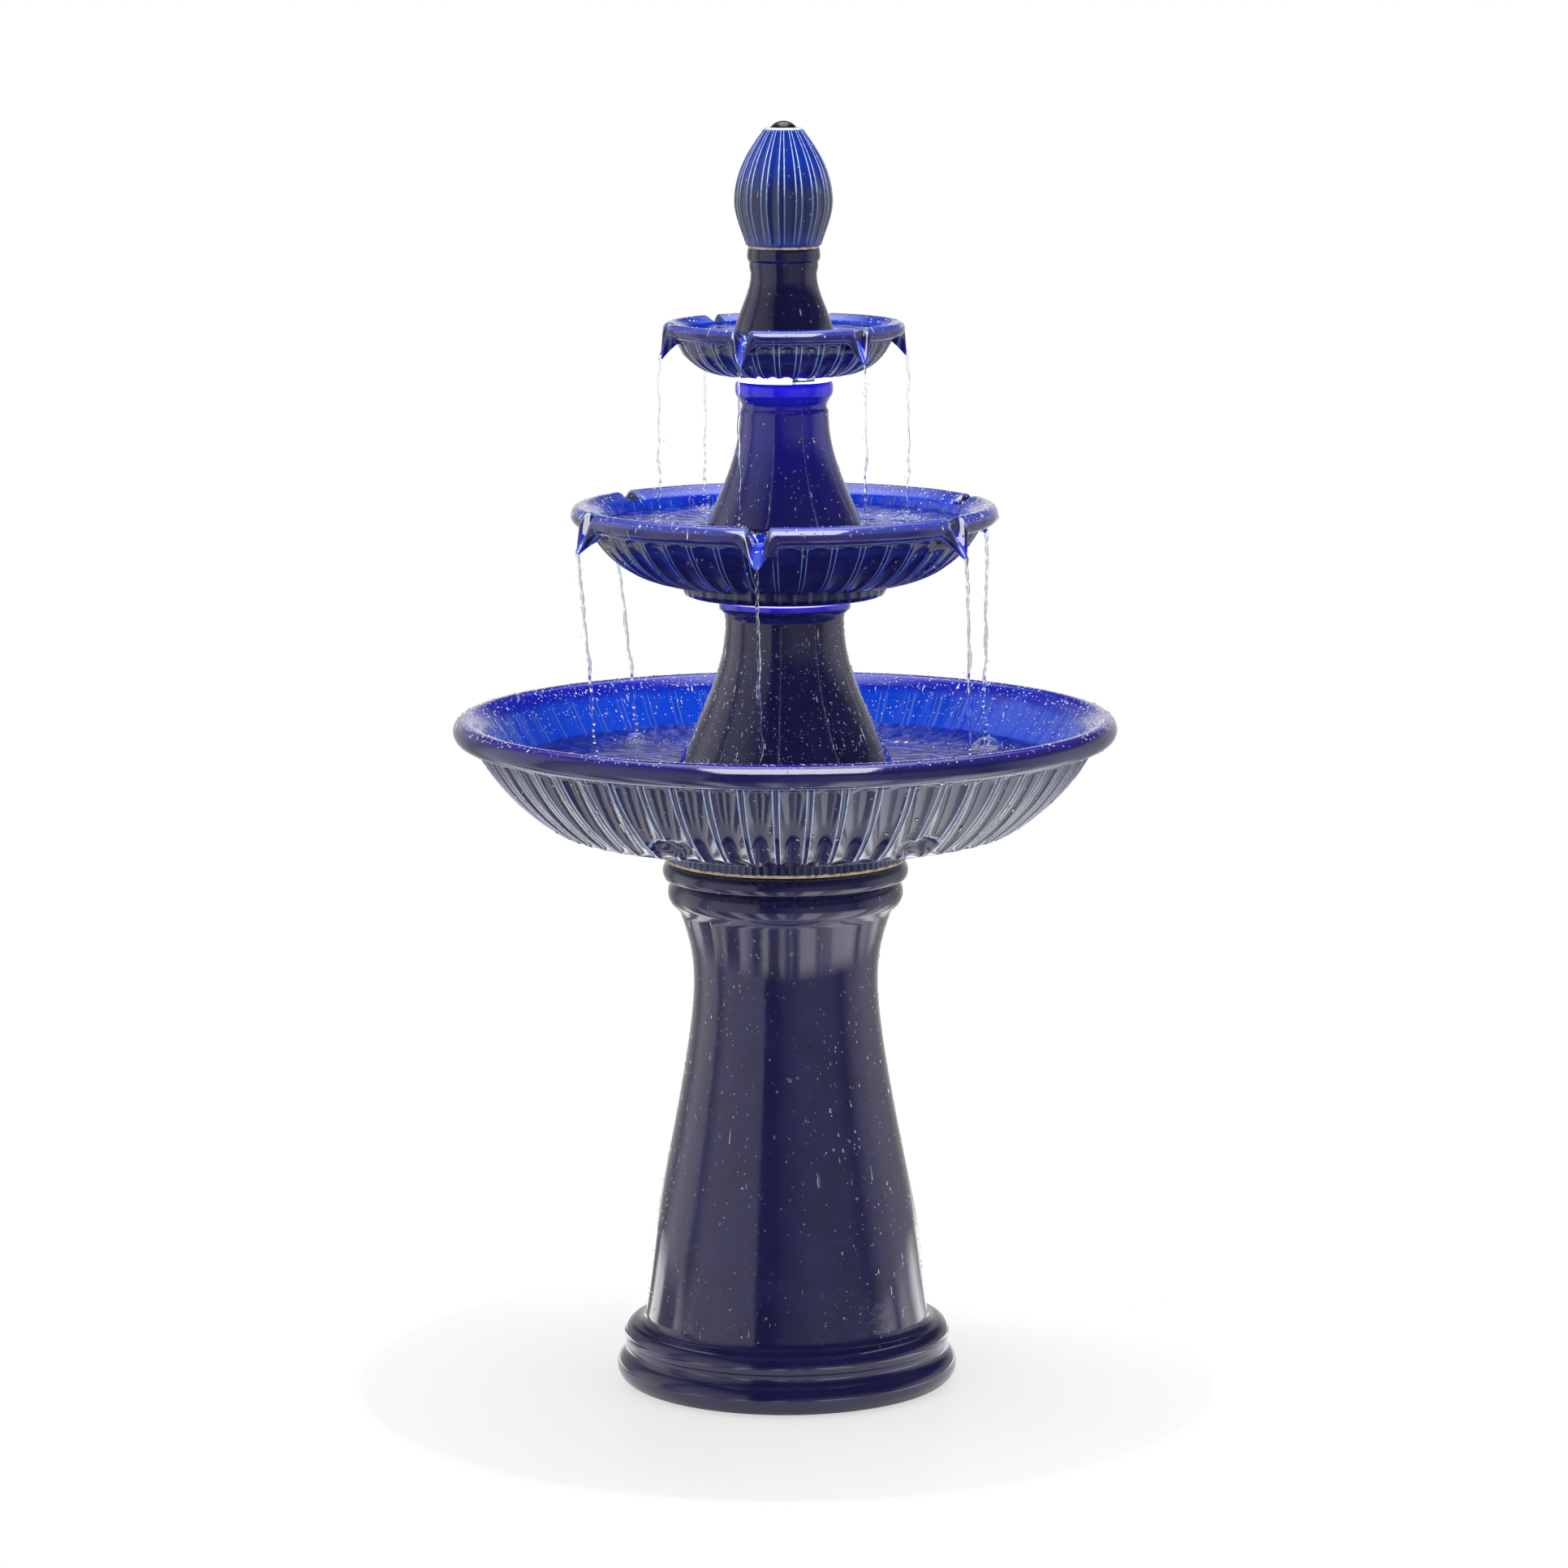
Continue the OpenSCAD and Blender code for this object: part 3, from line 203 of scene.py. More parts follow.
def addLamp(name, lamp):
    bpy.ops.object.light_add(type="AREA", location=lamp["place"])
    light = bpy.context.object
    light.name = name
    light.data.shape = "RECTANGLE"
    light.data.size, light.data.size_y = lamp["size"]
    light.data.energy = lamp["power"]
    light.visible_camera = False
    light.visible_glossy = lamp["mirrored"]
    light.visible_diffuse = light.visible_transmission = lamp.get("lights", True)
    aim = [goal - place for goal, place in zip((0, 0, 0.7), lamp["place"])]
    tilt = math.atan2(math.hypot(aim[0], aim[1]), -aim[2])
    light.rotation_euler = (tilt, 0, math.atan2(aim[0], -aim[1]) + math.pi)


addFloor()
addWorld()
for lampName in lamps:
    addLamp(lampName, lamps[lampName])
print("studio built")


# outlines, in millimetres as (radius, height)
def arcPoints(centre, radius, start, end, count):
    angles = np.radians(np.linspace(start, end, count))
    return np.stack([centre[0] + radius * np.cos(angles), centre[1] + radius * np.sin(angles)], axis=1)


def curvePoints(a, b, c, d, count):
    t = np.linspace(0, 1, count)[:, None]
    a, b, c, d = (np.array(p, float) for p in (a, b, c, d))
    return (1 - t) ** 3 * a + 3 * (1 - t) ** 2 * t * b + 3 * (1 - t) * t ** 2 * c + t ** 3 * d


def bellyPoints(p, q, radius, count):
    # arc from p up to q that bulges down and away from the axis
    p, q = np.array(p, float), np.array(q, float)
    half = (q - p) / 2
    length = np.hypot(*half)
    centre = (p + q) / 2 + math.sqrt(radius ** 2 - length ** 2) / length * np.array([-half[1], half[0]])
    start, end = (math.degrees(math.atan2(*(e - centre)[::-1])) for e in (p, q))
    return arcPoints(centre, radius, start, end, count)


def flarePoints(neck, foot, pull, belly, lift, count):
    # side of a flared stem from its neck down to its foot
    fall, spread = neck[1] - foot[1], foot[0] - neck[0]
    return curvePoints(neck, (neck[0], neck[1] - pull * fall), (neck[0] + belly * spread, foot[1] + lift * fall),
                       foot, count)


def evenly(points, gap, closeEnd=None):
    # the same line with its points a given distance apart, closer together near its end
    points = np.array(points, float)
    steps = np.hypot(*np.diff(points, axis=0).T)
    along = np.concatenate([[0], np.cumsum(steps)])
    total = along[-1]
    if closeEnd is None:
        places = np.linspace(0, total, max(2, int(round(total / gap)) + 1))
    else:
        places, place, step = [], total, closeEnd
        while place > 0:
            places.append(place)
            place -= step
            step = min(step * 1.25, gap)
        places = np.array(sorted(places + [0.0]))
        places = np.delete(places, 1) if len(places) > 2 and places[1] < 0.6 * closeEnd else places
    return np.stack([np.interp(places, along, points[:, i]) for i in range(2)], axis=1)


def joined(sections):
    # one outline from named stretches, with the name of the stretch that each point belongs to
    points, names = [], []
    for name, stretch in sections:
        for point in np.array(stretch, float).reshape(-1, 2):
            if points and np.hypot(*(point - points[-1])) < 0.05:
                continue
            points.append(point)
            names.append(name)
    return np.array(points), np.array(names)


def outward(outline):
    # direction off the clay at each point, to the right of the way the outline runs
    ahead = np.vstack([outline[1:], outline[-1:]]) - np.vstack([outline[:1], outline[:-1]])
    ahead /= np.maximum(np.hypot(*ahead.T), 1e-9)[:, None]
    return np.stack([ahead[:, 1], -ahead[:, 0]], axis=1)


def smooth(x):
    x = np.clip(x, 0, 1)
    return x * x * (3 - 2 * x)


# turning clay
def selectOnly(piece):
    bpy.ops.object.select_all(action="DESELECT")
    piece.select_set(True)
    bpy.context.view_layer.objects.active = piece


def baseOf(node):
    # height of a CAD node's underside
    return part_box(node)[0][2] / mm


def turned(name, outline, steps, base=0):
    # an outline drawn point by point, then spun round the fountain's axis
    bpy.ops.object.select_all(action="DESELECT")
    start = (outline[0][0] * mm, 0, (outline[0][1] + base) * mm)
    bpy.ops.mesh.primitive_plane_add(size=mm, location=start)
    piece = bpy.context.object
    piece.name = piece.data.name = name
    bpy.ops.object.transform_apply(location=True)
    bpy.ops.object.mode_set(mode="EDIT")
    bpy.ops.mesh.select_all(action="SELECT")
    bpy.ops.mesh.merge(type="CENTER")
    for a, b in zip(outline, outline[1:]):
        move = ((b[0] - a[0]) * mm, 0, (b[1] - a[1]) * mm)
        bpy.ops.mesh.extrude_vertices_move(TRANSFORM_OT_translate={"value": move})
    bpy.ops.object.mode_set(mode="OBJECT")
    turning = piece.modifiers.new("turning", "SCREW")
    turning.steps = turning.render_steps = steps
    turning.use_merge_vertices = True
    turning.merge_threshold = mergeWithin
    bpy.ops.object.modifier_apply(modifier=turning.name)
    bpy.ops.object.mode_set(mode="EDIT")
    bpy.ops.mesh.select_all(action="SELECT")
    bpy.ops.mesh.remove_doubles(threshold=mergeWithin)
    bpy.ops.mesh.delete_loose()
    bpy.ops.mesh.select_all(action="SELECT")
    bpy.ops.mesh.normals_make_consistent(inside=False)
    bpy.ops.object.mode_set(mode="OBJECT")
    return piece


def pointsOf(piece):
    flat = np.empty(len(piece.data.vertices) * 3)
    piece.data.vertices.foreach_get("co", flat)
    return flat.reshape(-1, 3)


def setPoints(piece, points):
    piece.data.vertices.foreach_set("co", points.ravel())
    piece.data.update()


def thrown(name, node, outline, angles, radii, heights, marks):
    # turned as a plain form where its CAD node stands; then each point goes from its ring and step to where
    # the clay really is, and takes the marks that the glaze reads
    base, steps, shape = baseOf(node), len(angles), (len(outline), len(angles))
    piece = turned(name, outline, steps, base)
    points = pointsOf(piece) / mm
    radius, height = np.hypot(points[:, 0], points[:, 1]), points[:, 2] - base
    step = np.round(np.arctan2(points[:, 1], points[:, 0]) / (2 * math.pi) * steps).astype(int) % steps
    row, portion = np.empty(len(points), int), 20000
    for first in range(0, len(points), portion):
        part = slice(first, first + portion)
        gaps = (radius[part, None] - outline[None, :, 0]) ** 2 + (height[part, None] - outline[None, :, 1]) ** 2
        row[part] = gaps.argmin(axis=1)
    angle = angles[step]
    r, z = (np.broadcast_to(values, shape)[row, step] for values in (radii, heights))
    setPoints(piece, np.stack([r * np.cos(angle), r * np.sin(angle), z + base], axis=1) * mm)
    for key, values in marks.items():
        layer = piece.data.attributes.new(name=key, type="FLOAT", domain="POINT")
        layer.data.foreach_set("value", np.broadcast_to(values, shape)[row, step].astype(np.float32))
    return piece, base


def roundCutter(radius, place, low, high):
    bpy.ops.mesh.primitive_cylinder_add(vertices=48, radius=radius * mm, depth=(high - low) * mm,
                                        location=(place[0] * mm, place[1] * mm, (low + high) / 2 * mm))
    bpy.ops.object.transform_apply(location=True)
    return bpy.context.object


def archCutter(width, height, reach, turn, floor):
    # a tunnel with a round top and straight sides, from the axis outwards and open below
    rise = (floor + height - width / 2) * mm
    middle = reach / 2 * mm
    bpy.ops.mesh.primitive_cylinder_add(
        vertices=48, radius=width / 2 * mm, depth=reach * mm, rotation=(math.pi / 2, 0, turn),
        location=(-math.sin(turn) * middle, math.cos(turn) * middle, rise))
    bpy.ops.object.transform_apply(location=True, rotation=True)
    cutter = bpy.context.object
    bpy.ops.object.mode_set(mode="EDIT")
    bpy.ops.mesh.select_all(action="DESELECT")
    bpy.ops.object.mode_set(mode="OBJECT")
    for point in cutter.data.vertices:
        point.select = point.co.z < rise - 1e-6
    bpy.ops.object.mode_set(mode="EDIT")
    bpy.ops.transform.translate(value=(0, 0, -height * mm))
    bpy.ops.object.mode_set(mode="OBJECT")
    return cutter


def cutAway(piece, cutters):
    for cutter in cutters:
        selectOnly(piece)
        hole = piece.modifiers.new("hole", "BOOLEAN")
        hole.operation, hole.solver, hole.object = "DIFFERENCE", "EXACT", cutter
        bpy.ops.object.modifier_apply(modifier=hole.name)
        bpy.data.objects.remove(cutter)


def finished(piece, body, material, nodes, creaseAngle=50):
    # smooth shading, the finish, and the body and CAD nodes that the piece belongs to
    selectOnly(piece)
    bpy.ops.object.shade_smooth_by_angle(angle=math.radians(creaseAngle))
    piece.data.materials.clear()
    piece.data.materials.append(material)
    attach(piece, body)
    if nodes:
        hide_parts(*nodes)
    print(piece.name, len(piece.data.polygons), "faces")


def fluteAngles(b):
    # angles round the axis, with a step on each side of both sharp edges of every narrow flute
    half, line = b["share"] / 2, b["lineShare"]
    steps = np.array([-half, -half + line, half - line, half,
                      *np.linspace(half + line, 1 - half - line, b["panelSteps"])])
    return np.radians(np.concatenate([(steps + k) * 360 / b["flutes"] for k in range(b["flutes"])]) + b["turn"] - 90)


def fluteShape(angles, b):
    # which angles lie in a narrow flute, how far from its flute's middle each is (1 at the sharp edge), and
    # the line along the edges
    pitch = (np.degrees(angles) + 90 - b["turn"]) / 360 * b["flutes"]
    u = np.abs(pitch - np.round(pitch))
    half = b["share"] / 2
    narrow = u <= half + 1e-6
    x = np.where(narrow, u / half, (0.5 - u) / (0.5 - half))
    line = np.clip(1 - np.abs(u - half) / (b["lineShare"] * 0.98), 0, 1)
    return narrow, np.clip(x, 0, 1), line[None, :]


def fluted(outline, names, angles, b):
    # height off the plain clay, and the pale line, for each row and step of a fluted form
    along = np.concatenate([[0], np.cumsum(np.hypot(*np.diff(outline, axis=0).T))])
    narrow, x, line = fluteShape(angles, b)
    wall, wallFrom, wallTo = (names == "wall")[:, None], along[names == "wall"][0], along[names == "wall"][-1]
    arch = b["arch"] * (1 - np.sqrt(np.clip(1 - x ** 2, 0, 1)))
    fromTop = wallTo - b["fluteTop"] - along[:, None] - np.where(narrow, 0, arch)[None, :]
    fromFoot = along[:, None] - (wallFrom + b["fluteFoot"])
    depth = np.where(narrow, b["stripDepth"], b["depth"])[None, :] * (1 - x[None, :] ** 2)
    height = wall * b["proud"] * smooth((wallTo - along[:, None]) / 3)
    height = height - depth * (smooth(fromTop / 3) * smooth(fromFoot / 4) * wall)
    pale = b["lineLevel"] * line * smooth(fromTop / 1.5 + 0.5) * smooth(fromFoot / 3) * wall
    archLine = np.clip(1 - np.abs(fromTop - 0.6) / 0.9, 0, 1) * wall * (~narrow)[None, :]
    pale = np.maximum(pale, 0.3 * archLine)
    if "innerLine" in b:
        # the same flutes run down the inner wall, from just under the rim
        inner = names == "inner"
        fade = inner[:, None] * smooth((along[:, None] - along[inner][0] - b["innerFrom"]) / 3)
        height = height + fade * b["innerDepth"] * np.where(narrow, 0.35, 1.0)[None, :] * (x ** 2)[None, :]
        pale = np.maximum(pale, b["innerLine"] * line * fade)
    if "footFlutes" in b:
        # fine upright flutes round the foot ring
        rows = ((names == "foot") & (outline[:, 0] > b["footR"] - 0.5) & (outline[:, 1] > 1))[:, None]
        beat = np.cos((angles + math.radians(90 - b["turn"])) * b["footFlutes"])[None, :]
        height = height + rows * b["footFluteDepth"] * (beat - 1) / 2
        pale = np.maximum(pale, rows * np.clip(beat, 0, 1) ** 3 * b["footLine"])
    return height, pale, along


def raised(outline, height):
    # where each point goes when the clay stands that far off the plain outline
    normal = outward(outline)
    return outline[:, :1] + normal[:, :1] * height, outline[:, 1:] + normal[:, 1:] * height


# glaze
# glaze colours, among them those of painted light on the glaze and of the lamps' glow painted into it
glazes = {
    "deep": "#15133a", "body": "#211e52", "violet": "#2a1d9a", "paintedLight": "#0a4ae2", "litDeep": "#0c20b6",
    "paleSoft": "#7c99c9", "pale": "#dfe9ff", "clay": "#cdbb9c", "clayDark": "#9c8768",
    "glow": "#2a12ff", "glowCore": "#cdbfff",
}


def glazeMaterial(name, deep, body, violet, litDeep, paintedLight, thinnest=glazes["paleSoft"]):
    # stoneware in a fired cobalt glaze, pale where it ran thin over an edge; its surface is as smooth as glass.
    # Its colour carries painted light and shade: near black where shade is painted, vivid where light is painted
    material, tree, shader = newMaterial(name, IOR=1.55, Coat_Weight=1.0, Coat_Roughness=0.03, Coat_IOR=1.45)
    place = addNode(tree, "TexCoord").outputs["Object"]
    marks = {key: addNode(tree, "Attribute", attribute_name=key).outputs["Fac"]
             for key in ("edge", "paintedLight", "bare", "glow")}
    # 30 mm clouds in the glaze's depth, and 4 mm mottling over them
    clouds = addNode(tree, "TexNoise", {"Vector": place, "Scale": 33.0, "Detail": 4.0})
    mottle = addNode(tree, "TexNoise", {"Vector": place, "Scale": 240.0, "Detail": 4.0})
    shift = addNode(tree, "MapRange", {"Value": clouds, "From": (0.3, 0.7), "To": (-0.06, 0.06)})
    # painted light and shade, moved a little by the clouds; the ramp runs from painted shade to vivid painted light
    depth = addNode(tree, "Math", {0: marks["paintedLight"], 1: shift}, operation="ADD")
    base = addNode(tree, "ValToRGB", {"Fac": depth}, [(0.0, deep), (0.2, body), (0.55, violet), (0.8, litDeep),
                                                      (1.0, paintedLight)])
    # the line along an edge breaks up and varies in strength
    broken = addNode(tree, "MapRange", {"Value": mottle, "From": (0.3, 0.6), "To": (0.68, 1.0)})
    line = addNode(tree, "Math", {0: marks["edge"], 1: broken}, operation="MULTIPLY")
    # iron specks of about 1 mm
    cells = addNode(tree, "TexVoronoi", {"Vector": place, "Scale": 300.0})
    speck = addNode(tree, "MapRange", {"Value": cells, "From": (0.05, 0.16), "To": (0.55, 1.0)})
    specked = addNode(tree, "Mix", {"Factor": 1.0, 6: base, 7: speck}, data_type="RGBA", blend_type="MULTIPLY")
    thin = addNode(tree, "ValToRGB", {"Fac": line}, [(0.0, glazes["paleSoft"]), (0.4, glazes["paleSoft"]),
                                                     (0.7, thinnest), (1.0, glazes["pale"])])
    cover = addNode(tree, "MapRange", {"Value": line, "From": (0.0, 0.6)})
    edged = addNode(tree, "Mix", {"Factor": cover, 6: specked, 7: thin}, data_type="RGBA")
    # the bare clay of an unglazed foot, with a ragged edge
    centred = addNode(tree, "Math", {0: mottle, 1: 0.5}, operation="SUBTRACT")
    ragged = addNode(tree, "Math", {0: marks["bare"], 1: centred}, operation="ADD")
    bare = addNode(tree, "MapRange", {"Value": ragged, "From": (0.45, 0.55)})
    clay = addNode(tree, "ValToRGB", {"Fac": mottle}, [(0.35, glazes["clayDark"]), (0.6, glazes["clay"])])
    tint = addNode(tree, "Mix", {"Factor": bare, 6: edged, 7: clay}, data_type="RGBA")
    gloss = addNode(tree, "MapRange", {"Value": clouds, "From": (0.3, 0.7), "To": (0.08, 0.14)})
    rough = addNode(tree, "Mix", {"Factor": bare, 2: gloss, 3: 0.85})
    # painted glow: the lamps' light in the glaze is given off by the glaze itself, violet, and nearly white right
    # beside them
    shine = addNode(tree, "ValToRGB", {"Fac": marks["glow"]}, [(0.0, glazes["glow"]), (0.55, glazes["glow"]),
                                                               (1.0, glazes["glowCore"])])
    # fired glaze is never quite flat: a 14 mm wave and a fine orange peel
    wave = addNode(tree, "TexNoise", {"Vector": place, "Scale": 70.0, "Detail": 1.0})
    bumpWave = addNode(tree, "Bump", {"Height": wave, "Strength": 0.12, "Distance": 0.002})
    bumpPeel = addNode(tree, "Bump", {"Height": mottle, "Strength": 0.1, "Distance": 0.0008, "Normal": bumpWave})
    feed(shader, {"Base Color": tint, "Roughness": rough, "Emission Color": shine, "Emission Strength": marks["glow"],
                  "Normal": bumpPeel})
    return material


bowlGlaze = glazeMaterial("cobaltGlaze", "#12143f", "#211f5c", glazes["violet"], glazes["litDeep"], glazes["paintedLight"])
budGlaze = glazeMaterial("steelCobaltGlaze", "#10163a", "#18224f", "#182c80", "#11319a", "#1245b4", "#dbe5fb")
# the stems' glaze ends in violet where light is painted: the lamp rings' light painted onto the collars
stemGlaze = glazeMaterial("deepCobaltGlaze", glazes["deep"], glazes["body"], "#17176e", "#1a149c", "#1a0fd0")
print("glazes mixed")


# basin
basin = {
    "node": "basin", "footR": 110, "footH": 11, "footFlutes": 100, "footFluteDepth": 0.4, "footLine": 0.16,
    "knee": (207, 31), "belly": 196, "rimR": 289.2, "rimZ": 119.7, "roll": 11, "lowLine": (-66, 11),
    "innerKnee": (200, 44), "innerBelly": 181, "innerTopR": 272.2, "floorZ": 28, "floorR": 131, "waterLine": 89,
    "bungR": 12, "bungY": 63,
    "flutes": 58, "share": 0.19, "turn": -1.7, "lineShare": 0.028, "lineLevel": 1.0, "panelSteps": 8,
    "proud": 1.35, "depth": 2.5, "stripDepth": 0.7, "fluteTop": 2.0, "fluteFoot": 2.0, "arch": 5.0,
    "innerDepth": 1.0, "innerFrom": 4, "innerLine": 0.42,
    "gripR": 24, "gripDepth": 8.5, "gripTurns": (-26, 31.5, 154, 211.5), "gripShare": 0.2,
    "gripOval": (0.86, 1.4), "gripLip": 1.6,
}


def rollOf(b, count):
    # the rolled rim, from under its outer side over to the inside
    return arcPoints((b["rimR"], b["rimZ"]), b["roll"], -128, 132, count)


def wallStart(b):
    # where a bowl's wall meets the underside of its rim
    return (b["rimR"] - 0.72 * b["roll"], b["rimZ"] - b["roll"] + 0.8)


def innerLine(b, count):
    return bellyPoints(b["innerKnee"], (b["innerTopR"], b["rimZ"]), b["innerBelly"], count)


def rimMarks(outline, names, b):
    # how far round its roll each point lies, in degrees, and the pale line where the rim's lower edge breaks
    start = np.degrees(np.arctan2(outline[:, 1] - b["rimZ"], outline[:, 0] - b["rimR"]))
    middle, width = b["lowLine"]
    return start, ((names == "rim") * np.clip(1 - np.abs(start - middle) / width, 0, 1) * 0.55)[:, None]


def gripsOf(outline, names, angles, along, pale):
    # hand grips hollowed under the wall, each with a pale lip on its upper edge only: thin glaze there, and a painted
    # highlight
    b = basin
    wall = (names == "wall")[:, None]
    wallRows = np.where((names == "wall") & (outline[:, 0] > b["knee"][0] - 2))[0]
    reach = along[wallRows[0]] + b["gripShare"] * (along[wallRows[-1]] - along[wallRows[0]])
    centre = b["gripR"] - b["gripDepth"]
    rim = math.sqrt(b["gripR"] ** 2 - centre ** 2)
    sunk = np.zeros_like(pale)
    for turn in b["gripTurns"]:
        apart = (np.degrees(angles) + 90 - turn + 180) % 360 - 180
        across = np.radians(apart)[None, :] * outline[:, :1]
        away = np.hypot(across * b["gripOval"][0], (along[:, None] - reach) * b["gripOval"][1])
        deep = np.sqrt(np.clip(b["gripR"] ** 2 - away ** 2, 0, None)) - centre
        sunk = np.maximum(sunk, np.clip(deep, 0, None) * wall)
        # the lip: thin glaze, with a painted highlight, on the upper side only
        lip = np.clip(1 - np.abs(away - rim) / b["gripLip"], 0, 1) * wall * (along[:, None] > reach)
        pale = np.maximum(pale * (away > rim - 0.5), lip * 0.9)
    return sunk, pale


def makeBasin():
    b = basin
    footR, footH, floorZ = b["footR"], b["footH"], b["floorZ"]
    foot = np.vstack([[(0, 0), (60, 0), (footR - 3, 0)], arcPoints((footR - 1.2, 1.2), 1.2, -80, 0, 4),
                      [(footR, 4), (footR, 8), (footR - 0.3, footH)]])
    wall = np.vstack([[(footR + 4, footH + 1)], bellyPoints(b["knee"], wallStart(b), b["belly"], 60)])
    inner = np.vstack([[(b["innerTopR"] + 1.5, b["rimZ"] + 1.6)], innerLine(b, 60)[::-1]])
    outline, names = joined([
        ("foot", foot), ("wall", evenly(wall, 4.2, 0.9)), ("rim", rollOf(b, 22)), ("inner", evenly(inner, 4.5)),
        ("floor", evenly([b["innerKnee"], (b["floorR"], floorZ)], 8)), ("floor", [(60, floorZ), (0, floorZ)]),
    ])
    angles = fluteAngles(b)
    height, pale, along = fluted(outline, names, angles, b)
    sunk, pale = gripsOf(outline, names, angles, along, pale)
    start, lowLine = rimMarks(outline, names, b)
    # painted light and shade: vivid above the water line, dark below it and a little darker near the top of the inner
    # wall, violet over the rim and lighter towards its top
    z = outline[:, 1]
    paintedLight = (names == "inner") * (0.6 + 0.4 * smooth((z - b["waterLine"] + 12) / 14)) + (names == "floor") * 0.6
    paintedLight = paintedLight * (1 - 0.2 * smooth((z - b["rimZ"] + 6) / 8))
    paintedLight = paintedLight + (names == "rim") * (0.1 + 0.42 * smooth((start - 10) / 70) + 0.25 * smooth((start - 95) / 25))
    bare = (names == "foot") & (z < 1.6)
    piece, base = thrown("basin_bowl", "basin", outline, angles, *raised(outline, np.where(sunk > 0, -sunk, height)),
                         {"edge": np.maximum(pale, lowLine), "paintedLight": paintedLight[:, None], "bare": bare[:, None]})
    cutAway(piece, [roundCutter(b["bungR"], (0, b["bungY"]), base - 1, base + floorZ + 1)])
    finished(piece, "base", bowlGlaze, ["basin"])


makeBasin()


# bowls with pouring spouts
midBowl = {
    "node": "mid_bowl", "holeR": 23,
    "foot": [(23, 5), (56.6, 5), (56.6, 0), (86, 0), (90.2, 1.8), (92, 6), (92, 9.5), (92, 12.5)],
    "footR": 92, "footFlutes": 42, "footFluteDepth": 0.9, "footLine": 0.2,
    "knee": (97, 13), "belly": 90.7, "rimR": 183.5, "rimZ": 73.5, "roll": 8.8, "lowLine": (-62, 12),
    "innerKnee": (92, 25), "innerBelly": 78.7, "innerTopR": 166.7,
    "flutes": 42, "share": 0.165, "turn": -2.75, "lineShare": 0.024, "lineLevel": 0.6, "panelSteps": 14,
    "proud": 1.15, "depth": 1.9, "stripDepth": 0.4, "fluteTop": 1.5, "fluteFoot": 1.0, "arch": 4.0,
    "innerDepth": 0.9, "innerFrom": 1, "innerLine": 0.5,
    "spouts": 6, "spoutTurn": -7.1,
    "channel": [(171, 60), (178, 58.5), (188, 53.5), (198.5, 46), (199.5, 46.5), (199.5, 48.5), (196, 54), (190, 61),
                (182, 64.5), (170, 64.5)],
    "crestHalf": 11, "floorHalf": 3, "lowerHalf": 22, "tipHalf": 1.6, "smoothHalf": 21,
}
topBowl = {
    "node": "top_bowl", "holeR": 23,
    "foot": [(23, 0), (35, 0), (48, 0)],
    "knee": (49.5, 0.3), "belly": 46.5, "rimR": 102.1, "rimZ": 40, "roll": 6.4, "lowLine": (-62, 12),
    "innerKnee": (49.5, 9), "innerBelly": 37.5, "innerTopR": 88.7,
    "flutes": 30, "share": 0.235, "turn": -4.0, "lineShare": 0.034, "lineLevel": 0.8, "panelSteps": 16,
    "proud": 0.95, "depth": 1.3, "stripDepth": 0.35, "fluteTop": 1.5, "fluteFoot": 1.0, "arch": 4.0,
    "spouts": 6, "spoutTurn": -20.6,
    "channel": [(92, 29), (97, 27.5), (103.5, 22), (110.6, 14.2), (111.4, 14.6), (111.4, 16.5), (108.5, 22),
                (105, 28), (100, 33.5), (91, 34.5)],
    "crestHalf": 7, "floorHalf": 2.2, "lowerHalf": 14.5, "tipHalf": 1.2, "smoothHalf": 13,
}
# how far along the spout each point of its channel comes; the tip takes the roll's lower outer quarter
channelKnots = [0.0, 0.10, 0.20, 0.33, 0.42, 0.455, 0.49, 0.57, 0.67, 0.80, 0.93, 1.0]


def spoutWeight(b, t, across):
    # 1 on the floor of a channel, 0 beyond its rolled sides, for each row and step
    lower, crest, floor, tip = (b[key] for key in ("lowerHalf", "crestHalf", "floorHalf", "tipHalf"))
    outer = np.interp(t, [0, 0.15, 0.33, 0.45, 0.55, 0.7, 1.0],
                      [lower, lower, lower * 0.96, lower * 0.77, crest * 1.1, crest, crest * 1.15])
    inner = np.interp(t, [0, 0.2, 0.42, 0.5, 0.65, 1.0], [floor * 1.2, floor * 0.8, tip, tip, floor * 0.7, floor])
    blend = np.clip((outer[:, None] - across) / (outer - inner)[:, None], 0, 1)
    crisp = smooth((t - 0.38) / 0.12)[:, None]
    return (1 - crisp) * blend ** 1.3 + crisp * (0.35 * blend + 0.65 * smooth(blend))


